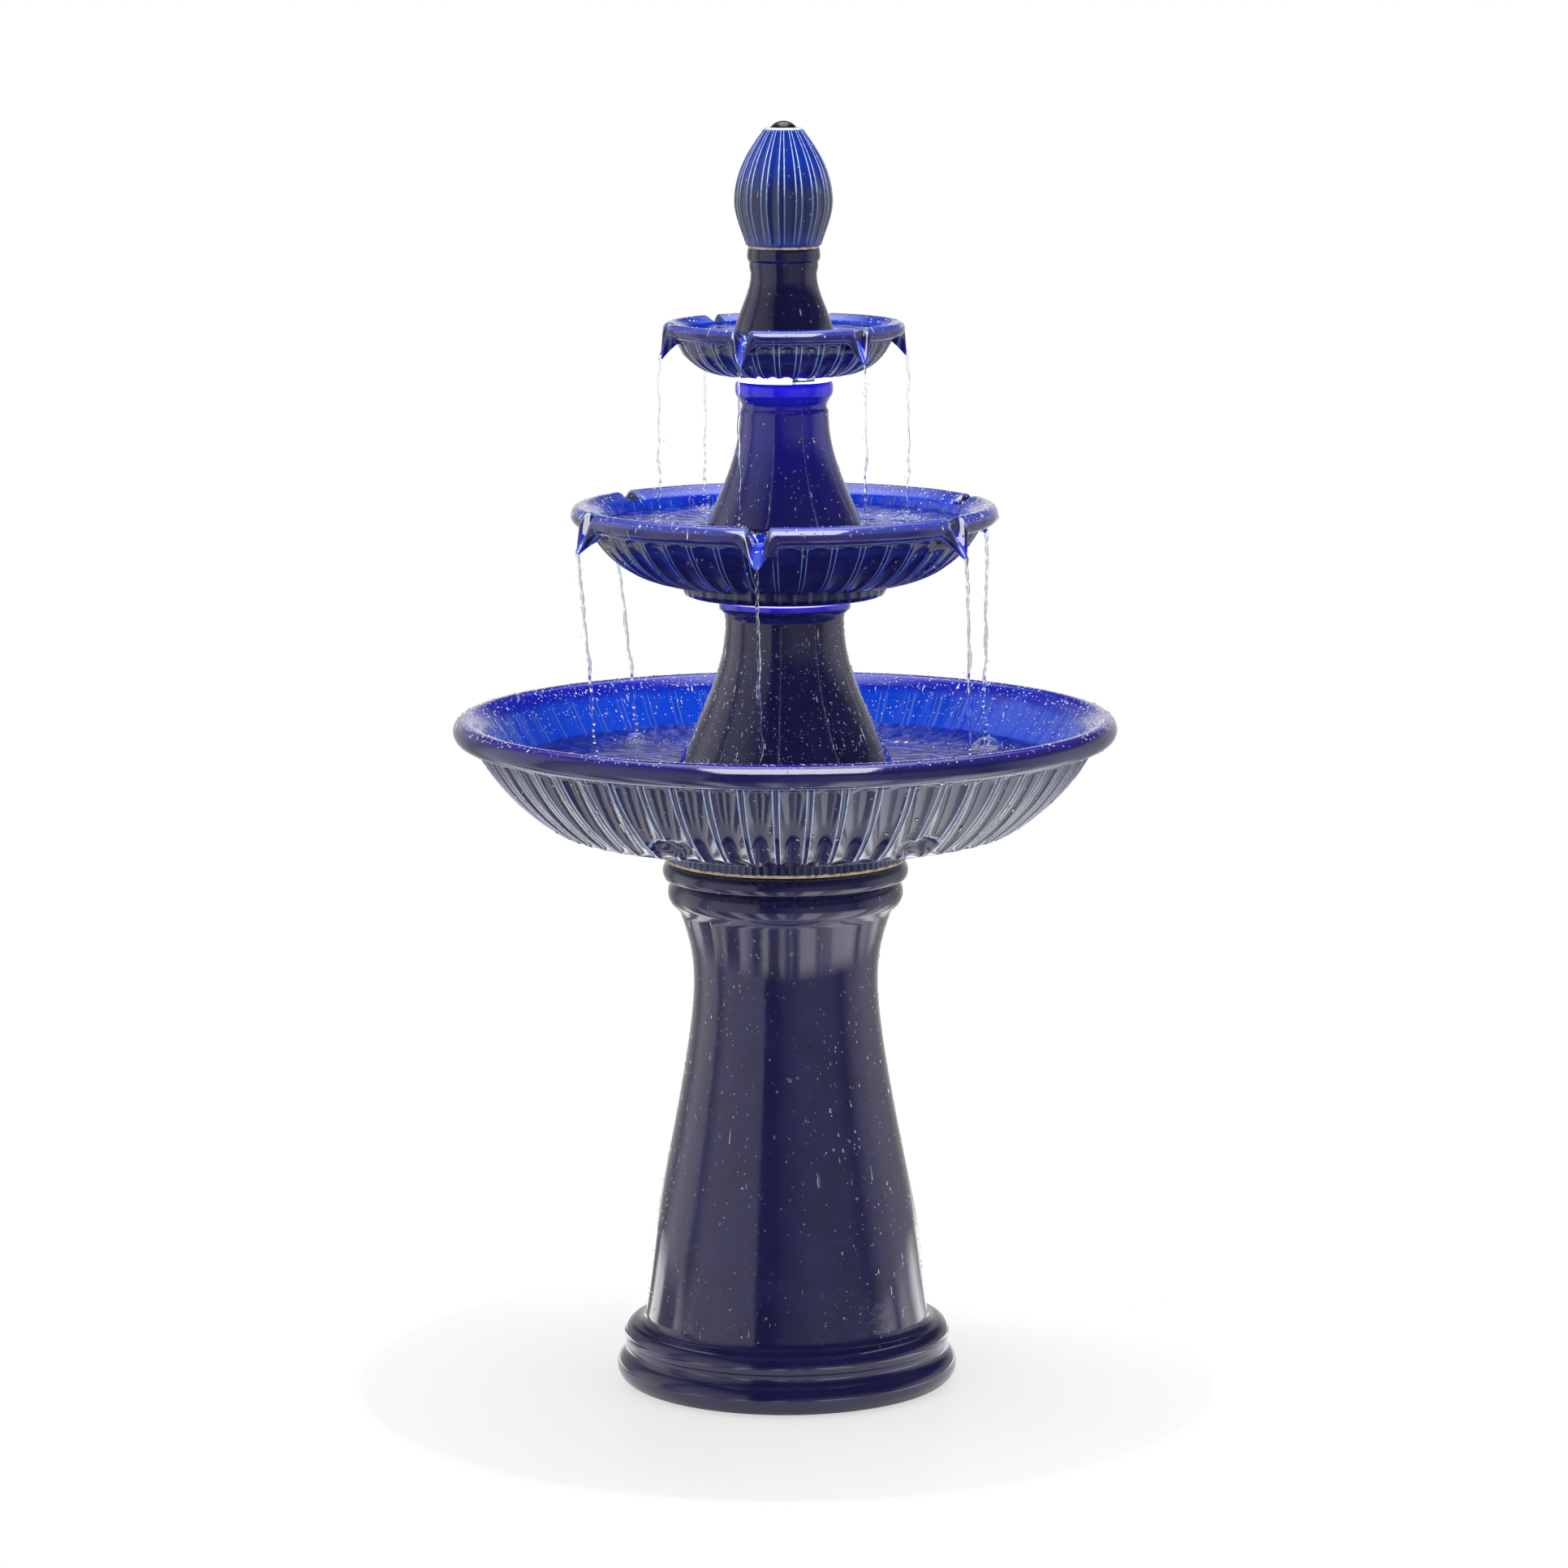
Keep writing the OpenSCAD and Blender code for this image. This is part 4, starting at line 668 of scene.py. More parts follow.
def makeBowl(name, b):
    ledge = [(b["innerTopR"] + 4, b["rimZ"] + 2.6), (b["innerTopR"] + 1, b["rimZ"] + 0.8)]
    kneeR, floorZ = b["innerKnee"]
    outline, names = joined([
        ("foot", b["foot"]), ("wall", evenly(bellyPoints(b["knee"], wallStart(b), b["belly"], 60), 3.4, 0.8)),
        ("rim", rollOf(b, 26)), ("ledge", evenly(ledge, 1.5)), ("inner", evenly(innerLine(b, 60)[::-1], 4.0)),
        ("floor", [(kneeR * 0.6, floorZ), (b["holeR"], floorZ)]), ("hole", b["foot"][0]),
    ])
    angles = fluteAngles(b)
    height, pale, along = fluted(outline, names, angles, b)
    start, lowLine = rimMarks(outline, names, b)
    # the flutes fade out beside each spout
    pitch = 360 / b["spouts"]
    apart = (np.degrees(angles) + 90 - b["spoutTurn"] + pitch / 2) % pitch - pitch / 2
    across = np.abs(np.radians(apart))[None, :] * b["rimR"]
    wall, wallEnd = (names == "wall")[:, None], along[names == "wall"][-1]
    beside = 1 - smooth((across - 0.55 * b["smoothHalf"]) / (0.6 * b["smoothHalf"]))
    quiet = 1 - wall * smooth((along[:, None] - wallEnd + 2.6 * b["roll"]) / (1.2 * b["roll"])) * beside
    height = wall * b["proud"] * (1 - quiet) + height * quiet
    pale = np.maximum(pale * quiet, lowLine)
    radii, heights = raised(outline, height)
    # the spout's own outline, met row by row between the upper wall and the ledge
    rows = np.arange(np.where(along > wallEnd - 1.3 * b["roll"])[0][0], np.where(names == "ledge")[0][-1] + 1)
    first, last = rows[0], rows[-1]
    t = (along[rows] - along[first]) / (along[last] - along[first])
    channel = np.array([outline[first], *b["channel"], outline[last]])
    spout = np.stack([np.interp(t, channelKnots, channel[:, i]) for i in range(2)], axis=1)
    weight = spoutWeight(b, t, across)
    radii[rows] = (1 - weight) * radii[rows] + weight * spout[:, :1]
    heights[rows] = (1 - weight) * heights[rows] + weight * spout[:, 1:]
    t = t[:, None]
    lipLine = np.clip(1 - np.abs(weight - 0.06) / 0.07, 0, 1) * ((t > 0.52) & (t < 0.97))
    pale[rows] = np.maximum(pale[rows] * (1 - 0.9 * smooth(weight * 3) * (t > 0.45)), lipLine * 0.7)
    # painted light and shade: vivid inside and on the floor, the rim lighter towards its top, the outer wall nearly
    # dark
    paintedLight = np.where((names == "inner") | (names == "ledge"), 0.9, 0.0) + (names == "floor") * 1.0
    paintedLight = paintedLight + (names == "rim") * (0.2 + 0.5 * smooth((start + 10) / 70))
    paintedLight = np.repeat(paintedLight[:, None], len(angles), axis=1)
    # painted light: the channel is painted vivid blue between its dark rolled sides
    paintedLight[rows] = np.where((t > 0.4) & (t < 0.9) & (weight > 0.02), 0.12 + 0.8 * smooth((weight - 0.5) / 0.35), paintedLight[rows])
    piece = thrown(name, b["node"], outline, angles, radii, heights,
                   {"edge": pale, "paintedLight": np.maximum(paintedLight, 0.08 * wall)})[0]
    finished(piece, "base", bowlGlaze, [b["node"]], 65)


makeBowl("middle_bowl", midBowl)
makeBowl("top_bowl_fluted", topBowl)


# stems and pedestal
def plainTurned(name, node, sections, steps, paintedLight=None, glow=None):
    outline, names = joined(sections)
    marks = {"bare": (names == "bare")[:, None]}
    # painted light and the lamps' painted glow, for pieces that ask for them
    for key, level in (("paintedLight", paintedLight), ("glow", glow)):
        if level:
            marks[key] = level(outline[:, 1:])
    return thrown(name, node, outline, np.arange(steps) * 2 * math.pi / steps, outline[:, :1], outline[:, 1:], marks)


# the side flares from neck to foot; the collar, the seat for the finial and the deck follow above it
lowerStem = {
    "node": "lower_stem", "neck": (53.4, 190), "foot": (122.8, 0), "flare": (0.314, 0.54, 0.462), "wall": 9, "lip": 0.6,
    "sidePoints": 60, "gap": 4, "steps": 220,
    "collar": np.vstack([
        [(53.4, 192), (53.7, 194), (54.2, 196)], curvePoints((54.6, 198), (58.1, 199), (59.6, 202), (59.6, 206), 9),
        [(59.5, 207.1), (59.4, 208), (59, 209.5), (58, 210.5)]]),
    "deck": [(30, 210.5), (11, 210.5), (11, 201.5), (30, 201.5), (40.4, 201.5)],
    # painted light on the collar under the lamp ring, and the ring's painted glow, nearly white right under it
    "paintedLight": lambda z: 0.1 + 0.5 * smooth((z - 202.5) / 6),
    "glow": lambda z: 0.52 * smooth((z - 202.5) / 4) + 1.8 * smooth((z - 208.6) / 0.8),
    "arches": 4, "archW": 30, "archH": 20, "leadHoleR": 2.5, "leadY": 18, "leadFrom": 200.5, "leadTo": 211.5,
}
midStem = {
    "node": "mid_stem", "neck": (39.9, 139), "foot": (86, 0), "flare": (0.353, 0.653, 0.36), "wall": 9, "lip": 0.6,
    "sidePoints": 60, "gap": 3.5, "steps": 200,
    "collar": np.vstack([
        [(39.9, 142), (39, 143.2), (38.1, 145), (38, 147), (39, 149.4)],
        curvePoints((39.9, 151), (40.7, 153), (44, 155.5), (44, 160), 8), [(44, 163.5), (43.5, 166.7), (42, 168.5)]]),
    "deck": [(25, 168.5), (11, 168.5), (11, 159.5), (25, 159.5)],
    # painted light, rising towards the top and under the lamp ring, and the ring's painted glow
    "paintedLight": lambda z: 0.3 + 0.35 * smooth((z - 20) / 110) + 0.25 * smooth((z - 140) / 20),
    "glow": lambda z: 0.38 * smooth((z - 154.5) / 9),
    "leadHoleR": 2.5, "leadY": 18, "leadFrom": 158.5, "leadTo": 169.5,
}
topStem = {
    "node": "top_stem", "neck": (29.6, 80), "foot": (49, 0), "flare": (0.2875, 0.877, 0.5375), "wall": 9, "lip": 0.5,
    "sidePoints": 50, "gap": 3, "steps": 160,
    "collar": np.vstack([
        [(30.1, 82), (30.7, 84.5), (30.9, 87), (30.8, 89.5)],
        curvePoints((31.2, 90.6), (32.6, 91.6), (32.8, 93.5), (32.8, 95.5), 6), [(32.5, 99.5), (32.1, 101.8)]]),
    "seat": [(31.6, 103), (25.5, 103)], "deck": [(25, 106), (11, 106), (11, 94), (20.6, 88)],
}


def stemSide(s, count):
    return flarePoints(s["neck"], s["foot"], *s["flare"], count)[::-1]


def makeStem(name, s):
    side, footR = stemSide(s, s["sidePoints"]), s["foot"][0]
    piece, base = plainTurned(name, s["node"], [
        ("bare", [(footR - s["wall"], 0), (footR - s["lip"], 0)]), ("side", evenly(side[1:], s["gap"])),
        ("collar", s["collar"]), ("bare", s.get("seat", [])), ("deck", s["deck"]),
        ("inside", [(r - s["wall"], z) for r, z in side[::6]][::-1]),
    ], s["steps"], s.get("paintedLight"), s.get("glow"))
    cutters = [archCutter(s["archW"], s["archH"], footR + 1, math.radians(45 + 90 * k), base)
               for k in range(s.get("arches", 0))]
    if "leadHoleR" in s:
        cutters.append(roundCutter(s["leadHoleR"], (0, s["leadY"]), base + s["leadFrom"], base + s["leadTo"]))
    cutAway(piece, cutters)
    finished(piece, "base", stemGlaze, [s["node"]])


makeStem("lower_stem_turned", lowerStem)
makeStem("middle_stem_turned", midStem)
makeStem("top_stem_turned", topStem)

pedestal = {
    "height": 479.5, "neck": (83.7, 370), "knee": (119.3, 148), "foot": (129.5, 57), "wall": 12,
    "flare": (0.243, 0.809, 0.18), "plinthR": 155.5, "plinthBead": 14.5, "stepR": 149, "stepBead": 11,
    "capBeadR": 106.8, "capBead": 16, "capR": 111.5, "capRingBead": 11, "capH": 40, "holeR": 82,
    "archW": 24, "archH": 18, "pocketR": 8.3, "pocketDepth": 1.5,
}


def makePedestal():
    p = pedestal
    top, neck, knee, foot = p["height"], p["neck"], p["knee"], p["foot"]
    capZ, footInner = top - p["capH"], foot[0] - p["wall"]
    flare = flarePoints(neck, knee, *p["flare"], 60)
    low = curvePoints(knee, (knee[0] + 4, knee[1] - 30), (foot[0] - 4, foot[1] + 32), foot, 24)
    rise = curvePoints(neck, (neck[0], neck[1] + 0.4 * (capZ - neck[1])),
                       (neck[0] + 4.5, neck[1] + 0.63 * (capZ - neck[1])), (p["capBeadR"] - 9, capZ), 24)
    plinthC, stepC = p["plinthR"] - p["plinthBead"], p["stepR"] - p["stepBead"]
    inside = [(min(r - p["wall"], p["holeR"]), z) for r, z in np.vstack([rise[::-6], flare[::6], low[::6]])]
    piece, base = plainTurned("pedestal_turned", "pedestal", [
        ("bare", [(footInner, 0), (plinthC, 0)]),
        ("plinth", arcPoints((plinthC, p["plinthBead"]), p["plinthBead"], -84, 62, 20)),
        ("step", arcPoints((stepC, 2 * p["plinthBead"] + p["stepBead"] + 3), p["stepBead"], -42, 84, 16)),
        ("side", evenly(np.vstack([[(stepC - 3, foot[1] - 2.8)], low[::-1]]), 4)),
        ("side", evenly(flare[::-1][1:], 5)), ("side", evenly(rise[1:-1], 3)),
        ("cap", arcPoints((p["capBeadR"] - p["capBead"], top - 19 - p["capBead"] / 2), p["capBead"], -40, 48, 14)),
        ("cap", arcPoints((p["capR"] - p["capRingBead"], top - 7), p["capRingBead"], -36, 52, 12)),
        ("bare", [(p["capR"] - 6, top - 1.2), (p["holeR"] + 2, top - 1)]),
        ("inside", [(p["holeR"], top - 4), (p["holeR"], capZ + 4)]),
        ("inside", inside), ("bare", (footInner, 0)),
    # an even, low level of painted light
    ], 256, paintedLight=lambda z: 0.08)
    # an arch for the cord at the back, and a pocket for each foot pad
    cutters = [archCutter(p["archW"], p["archH"], p["plinthR"] + 1, 0, base)]
    padX, padY = (abs(a + b) / 2 / mm for a, b in list(zip(*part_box("foot_pad_1")))[:2])
    for x, y in ((padX, padY), (-padX, padY), (-padX, -padY), (padX, -padY)):
        cutters.append(roundCutter(p["pocketR"], (x, y), base - 1, base + p["pocketDepth"]))
    cutAway(piece, cutters)
    finished(piece, "base", stemGlaze, ["pedestal"])


makePedestal()


# finial
finial = {
    "height": 106.5, "baseR": 32.3, "r": 43.3, "waistZ": 41, "topR": 15.4, "wall": 6, "boreR": 12.5,
    "flutes": 17, "share": 0.34, "turn": -2.6, "lineShare": 0.06, "lineLevel": 1.0, "panelSteps": 12,
    "proud": 0.85, "depth": 1.0, "stripDepth": 0.5, "fluteTop": 2.5, "fluteFoot": 1.0, "arch": 1.0,
}


def makeFinial():
    f = finial
    baseR, r, waistZ, topR, top = (f[key] for key in ("baseR", "r", "waistZ", "topR", "height"))
    innerR = baseR - f["wall"]
    wall = np.vstack([
        [(baseR + 0.8, 2.6)], curvePoints((baseR + 3, 9.5), (r - 3, waistZ - 18), (r, waistZ - 9), (r, waistZ), 20),
        curvePoints((r, waistZ), (r, waistZ + 27), (topR + 14, top - 18), (topR, top), 40)[1:]])
    inside = [(max(q[0] - f["wall"], f["boreR"]), q[1]) for q in wall[::-5]]
    outline, names = joined([
        ("bare", [(innerR, 0), (baseR - 0.4, 0), (baseR, 0.8)]), ("foot", (baseR + 0.5, 2)),
        ("wall", evenly(wall, 2.2, 0.8)), ("top", [(topR - 1.2, top), (f["boreR"] + 0.6, top - 0.2)]),
        ("inside", [(f["boreR"], top - 1), *inside[1:], (innerR, 2)]), ("bare", (innerR, 0)),
    ])
    angles = fluteAngles(f)
    height, pale = fluted(outline, names, angles, f)[:2]
    z = outline[:, 1:]
    # the lines fade out towards the foot, and the rim round the bore is pale
    pale = np.clip(pale * (0.42 + 0.8 * smooth((z - 30) / 55)), 0, 1)
    pale = np.maximum(pale, ((names == "top")[:, None] | (z > top - 1.5)) * 0.95)
    # painted light: lighter towards the top and at the very foot
    paintedLight = 0.15 + 0.3 * smooth((20 - z) / 15) + 0.62 * smooth((z - 42) / 36)
    piece = thrown("finial_bud", "finial", outline, angles, *raised(outline, height),
                   {"edge": pale, "paintedLight": paintedLight, "bare": (names == "bare")[:, None]})[0]
    finished(piece, "finial", budGlaze, ["finial"])


makeFinial()
print("ceramics turned")


# finishes of the pieces that come straight from the CAD model
def dress(nodes, name, dark, light, grain, rough, relief, **base):
    # a moulded, drawn or pressed surface: slight clouding, and a grain and its relief in millimetres
    material, tree, shader = newMaterial(name, **base)
    place = addNode(tree, "TexCoord").outputs["Object"]
    clouds = addNode(tree, "TexNoise", {"Vector": place, "Scale": 60.0, "Detail": 3.0})
    grains = addNode(tree, "TexNoise", {"Vector": place, "Scale": 1000 / grain, "Detail": 2.0})
    level = addNode(tree, "MapRange", {"Value": grains, "From": (0.35, 0.65), "To": rough})
    bump = addNode(tree, "Bump", {"Height": grains, "Strength": 0.3, "Distance": relief * mm})
    feed(shader, {"Base Color": addNode(tree, "ValToRGB", {"Fac": clouds}, [(0.35, dark), (0.65, light)]),
                  "Roughness": level, "Normal": bump})
    for node in nodes:
        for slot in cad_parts[node].material_slots:
            slot.material = material


def numbered(name, count):
    return [f"{name}_{k + 1}" for k in range(count)]


# soft black rubber under running water: deep black with a sharp wet highlight
dress(["nozzle_cap"], "wetNozzleRubber", "#08080c", "#101018", 1.5, (0.12, 0.25), 0.05, Coat_Weight=1.0)
# moulded EPDM rubber: dark grey-black, dull, with a faint bloom
dress(["pedestal_gasket", "cord_bung", "mid_grommet", "top_grommet", *numbered("foot_pad", 4)],
      "mouldedRubber", "#0e0e10", "#19191c", 0.8, (0.5, 0.7), 0.04)
# clear extruded vinyl: nearly colourless, a little cloudy, shiny outside
dress(["riser_hose", *numbered("suction_cup", 4)],
      "clearVinyl", "#dfe8e4", "#eef4f1", 3.0, (0.08, 0.2), 0.03, IOR=1.53, Transmission_Weight=0.9)
# rolled stainless band: bright grey with fine rolling marks
dress(["hose_clamp"], "rolledStainless", "#b4b4b0", "#cbcbc8", 0.4, (0.22, 0.36), 0.01, Metallic=1.0)
# moulded black ABS: satin, with the fine spark texture of the mould
dress(["pump_housing", "volute_cover", "strainer_cover", "outlet_barb", "impeller"],
      "satinPumpPlastic", "#141417", "#1d1d21", 0.5, (0.35, 0.5), 0.03)
# moulded grey ABS: lighter, so that a hand finds the dial
dress(["flow_dial"], "paleDialPlastic", "#b8b8b4", "#c8c8c4", 0.6, (0.35, 0.5), 0.03)
# extruded PVC sheath: black, smooth and slightly waxy
dress(["pump_lead", "light_lead", "lower_light_tail", "upper_light_tail"],
      "cableSheath", "#0d0d0f", "#161618", 2.0, (0.3, 0.42), 0.04)
# frosted acrylic lit from within: milky, brightest where it is thin
dress(["lower_light_ring"], "violetLitAcrylic", "#cfc4ff", "#e9e4ff", 1.0, (0.3, 0.45), 0.03,
      Emission_Strength=3.5, Emission_Color=colour("#cfc4ff"))
dress(["upper_light_ring"], "whiteLitAcrylic", "#e4efe6", "#f4f8f4", 1.0, (0.3, 0.45), 0.03,
      Emission_Strength=1.6, Emission_Color=colour("#eaf6ee"))
# solder mask over glass laminate: glossy green, the weave just showing
dress(["lower_light_board", "upper_light_board"], "solderMask", "#0c4a2c", "#11603a", 0.9, (0.15, 0.3), 0.02)
# cast epoxy over a lit chip: clear white glare with a yellow heart
dress(numbered("lower_lamp", 6) + numbered("upper_lamp", 6), "litLampEpoxy", "#fff3c9", "#ffffff", 0.7,
      (0.1, 0.2), 0.01, Emission_Strength=5.0, Emission_Color=colour("#e9ecff"))
# sintered alumina: ivory white, ground smooth
dress(["impeller_shaft"], "sinteredCeramic", "#e6dfd0", "#f0ebdf", 0.3, (0.25, 0.35), 0.01)
print("CAD pieces dressed")


# water
def waterMaterial(name, bend, ruffling):
    # running water: colourless, as smooth as glass, and never quite flat
    material, tree, shader = newMaterial(name, Roughness=0.0, IOR=bend, Transmission_Weight=1.0)
    place = addNode(tree, "TexCoord").outputs["Object"]
    # 7 mm ruffling and 2 mm shivers
    ruffle = addNode(tree, "TexNoise", {"Vector": place, "Scale": 140.0, "Detail": 3.0})
    bump = addNode(tree, "Bump", {"Height": ruffle, "Strength": ruffling, "Distance": 0.0008})
    feed(shader, {"Base Color": addNode(tree, "ValToRGB", {"Fac": ruffle}, [(0.3, "#eef4ff"), (0.7, "#ffffff")]),
                  "Normal": bump})
    return material


def foamAndGlintMaterial():
    # aerated water: white from the many tiny bubbles, bluish where they are fewer; the same white flecks also stand in
    # as painted glints of light on small drops
    material, tree, shader = newMaterial("foamAndGlintWater", IOR=1.333, Roughness=0.15)
    place = addNode(tree, "TexCoord").outputs["Object"]
    bubbles = addNode(tree, "TexVoronoi", {"Vector": place, "Scale": 900.0})
    feed(shader, {"Base Color": addNode(tree, "ValToRGB", {"Fac": bubbles}, [(0.1, "#b9c8ee"), (0.5, "#f4f7ff")])})
    return material


# beads and splashes; the thin twisted sheets of a fall, which bend light less; and the nearly still pools
water, fallingWater, poolWater = (waterMaterial("clearWater", 1.333, 0.15), waterMaterial("fallingWater", 1.14, 0.1),
                                  waterMaterial("poolWater", 1.333, 0.07))
whiteFlecks = foamAndGlintMaterial()
falls = {
    "basinLevel": 573, "middleLevel": 792, "topLevel": 964, "sunk": 0.9,
    "step": 1.5, "twist": 24, "waver": 0.9, "satellites": 9, "splashDrops": 26, "flecks": 34,
    "drifts": {0: 4, 1: 3, 2: -3, 3: 0, 4: 25, 5: 18},
    # how far the water lies off the clay, from the back of a channel to its tip
    "overClay": [(-12, 1.0), (0, 1.2), (0, 1.0), (0.4, 0.9), (0.8, 0.7), (0.9, 0.2)],
}


def meshPiece(name, points, faces, material, body="base"):
    mesh = bpy.data.meshes.new(name)
    mesh.from_pydata(points.tolist(), [], faces)
    piece = bpy.data.objects.new(name, mesh)
    bpy.context.scene.collection.objects.link(piece)
    selectOnly(piece)
    bpy.ops.object.mode_set(mode="EDIT")
    bpy.ops.mesh.select_all(action="SELECT")
    bpy.ops.mesh.normals_make_consistent(inside=False)
    bpy.ops.object.mode_set(mode="OBJECT")
    finished(piece, body, material, None, 70)


def streamLine(b, outwards, level, drift):
    # along the channel, over the tip and down to the pool below
    base = baseOf(b["node"])
    line = evenly(np.array(b["channel"][:-6:-1], float)[[0, 0, 1, 2, 3, 4]] + falls["overClay"], 1.6)
    last = line[-1]
    fall = last[1] + base - level
    depth = np.linspace(0, 1, int(fall / falls["step"]))[1:]
    radius = np.concatenate([line[:, 0], last[0] + 1.2 * smooth(depth * 6)])
    share = np.concatenate([np.zeros(len(line)), depth])
    path = outwards[None, :] * radius[:, None]
    path[:, 2] = np.concatenate([line[:, 1] + base, last[1] + base - depth * fall])
    path[:, 0] += drift * share ** 0.7
    return path, share, len(line)


def ovalTube(path, wide, thin, turn, side, sides=8):
    # rings of an oval that turns on its way down
    ahead = np.gradient(path, axis=0)
    ahead /= np.linalg.norm(ahead, axis=1)[:, None]
    across = side[None, :] - ahead * (ahead @ side)[:, None]
    across /= np.linalg.norm(across, axis=1)[:, None]
    off = np.cross(ahead, across)
    cos, sin = np.cos(turn)[:, None], np.sin(turn)[:, None]
    longWay, shortWay = across * cos + off * sin, off * cos - across * sin
    angles = np.arange(sides) * 2 * math.pi / sides
    rings = (path[:, None, :] + longWay[:, None, :] * (wide[:, None] * np.cos(angles))[:, :, None]
             + shortWay[:, None, :] * (thin[:, None] * np.sin(angles))[:, :, None])
    faces = [[i * sides + j, i * sides + (j + 1) % sides, (i + 1) * sides + (j + 1) % sides, (i + 1) * sides + j]
             for i in range(len(path) - 1) for j in range(sides)]
    faces += [list(range(sides)), [(len(path) - 1) * sides + j for j in range(sides)]]
    return rings.reshape(-1, 3), faces


def gather(parts):
    # many small closed shapes as one
    points, faces, count = [], [], 0
    for shape, shapeFaces in parts:
        points.append(shape)
        faces += [[count + q for q in face] for face in shapeFaces]
        count += len(shape)
    return np.vstack(points), faces


def modelledShape(segments, rings, cut=None, flat=1.0, wall=0.0):
    # a drop, half a drop or a bubble's shell, modelled once at a radius of 1 and copied from here
    bpy.ops.mesh.primitive_uv_sphere_add(segments=segments, ring_count=rings, radius=1)
    piece = bpy.context.object
    bpy.ops.object.mode_set(mode="EDIT")
    bpy.ops.mesh.select_all(action="SELECT")
    if cut is not None:
        bpy.ops.mesh.bisect(plane_co=(0, 0, cut), plane_no=(0, 0, 1), clear_inner=True, use_fill=not wall)
        bpy.ops.mesh.select_all(action="SELECT")
    bpy.ops.transform.resize(value=(1, 1, flat))
    bpy.ops.object.mode_set(mode="OBJECT")
    if wall:
        shell = piece.modifiers.new("shell", "SOLIDIFY")
        shell.thickness = wall
        bpy.ops.object.modifier_apply(modifier=shell.name)
    shape = pointsOf(piece), [list(face.vertices) for face in piece.data.polygons]
    bpy.data.objects.remove(piece)
    return shape


bead = modelledShape(8, 6, cut=-0.3, flat=0.5)
drop = modelledShape(8, 6)
bubble = modelledShape(14, 10, cut=-0.05, wall=0.06)


def placed(shape, size, spot):
    # a copy of a shape at its own size, in metres
    return (shape[0] * size + spot) * mm, shape[1]


def waves(rng, along, shortest, longest):
    return np.sin(along / rng.uniform(shortest, longest) + rng.uniform(0, 6))


def makeStreams(name, b, level, drifts, rope, seed):
    # streams are built as turning ovals, point by point: no modelling tool draws a rope of water that breaks up
    rng = np.random.default_rng(seed)
    half = rope["half"]
    parts, loose, landings = [], [], []
    for k in range(b["spouts"]):
        aim = math.radians(b["spoutTurn"] + 360 / b["spouts"] * k - 90)
        outwards, side = (np.array([math.cos(aim), math.sin(aim), 0.0]), np.array([-math.sin(aim), math.cos(aim), 0.0]))
        path, share, start = streamLine(b, outwards, level, drifts.get(k, 0))
        count = len(path)
        at = np.arange(count)
        falling = np.concatenate([np.zeros(start), np.arange(1, count - start + 1) * falls["step"]])
        # each fall wavers a little on its way
        for axis in (0, 1):
            path[:, axis] += share * (falls["waver"] * waves(rng, falling, 4, 6)
                                      + falls["waver"] * waves(rng, falling, 9, 14))
        # wide and shallow in the channel, gathered at the tip
        wide = np.interp(at, [0, start * 0.45, start - 1, start + 6],
                         [b["crestHalf"] * 0.75, b["crestHalf"] * 0.4, half * 1.3, half])
        thin = np.interp(at, [0, start - 1, start + 6], [1.3, 1.0, half * 0.5])
        swell = 1 + 0.22 * share * np.sin(2 * math.pi * falling / rng.uniform(7.5, 9.5) + rng.uniform(0, 6))
        swell += 0.15 * waves(rng, falling, 9, 15)
        calm = 1 - 0.7 * smooth((share - 0.25) / 0.2)
        turn = (2 * math.pi * np.cumsum(np.where(falling > 0, falls["step"] / falls["twist"] * calm, 0))
                + rng.uniform(0, 1))
        turn[:start] = 0
        end = int(start + (count - start) * rng.uniform(rope["whole"], rope["whole"] + 0.12))
        pinch = 1 - smooth((at - end + 8) / 8) * 0.85
        parts.append(ovalTube((path * mm)[:end], (wide * swell * pinch * mm)[:end],
                              (thin * (1 + 0.5 * share) * swell * pinch * mm)[:end], turn[:end], side))
        # a second, thinner strand wound round the first
        swing = 1.25 * np.clip(falling / 8, 0, 1) * (1 - 0.75 * smooth((share - 0.15) / 0.35))
        spin = -turn * 0.8 + 1.0
        strand = path + (np.cos(spin) * swing)[:, None] * side + (np.sin(spin) * swing)[:, None] * outwards
        till = int(start + (end - start) * 0.75)
        fade = (1 - 0.8 * smooth((at - till + 10) / 10))[start:till]
        parts.append(ovalTube((strand * mm)[start:till], 0.6 * fade * mm, 0.45 * fade * mm, turn[start:till] * 0,
                              side, 6))
        # the rest of the way in drops, longer than wide
        row = end + 1.0
        while row < count - 1:
            size = half * rng.uniform(0.6, 1.1)
            spot = path[int(row)] + rng.normal(0, 0.35, 3) * [1, 1, 0]
            stretch = rng.uniform(1.1, 2.4)
            loose.append(placed(drop, [size, size, size * stretch], spot))
            row += (size * stretch * 2 + rng.uniform(0.2, 2.5)) / falls["step"]
        # small satellites thrown off beside the fall
        for _ in range(falls["satellites"]):
            spot = path[int(rng.uniform(start + 10, count - 1))] + rng.normal(0, 2.6, 3)
            loose.append(placed(drop, rng.uniform(0.3, 0.7), spot))
        landings.append(path[-1])
    meshPiece(name, *gather(parts), fallingWater)
    meshPiece(name + "_drops", *gather(loose), water)
    return landings


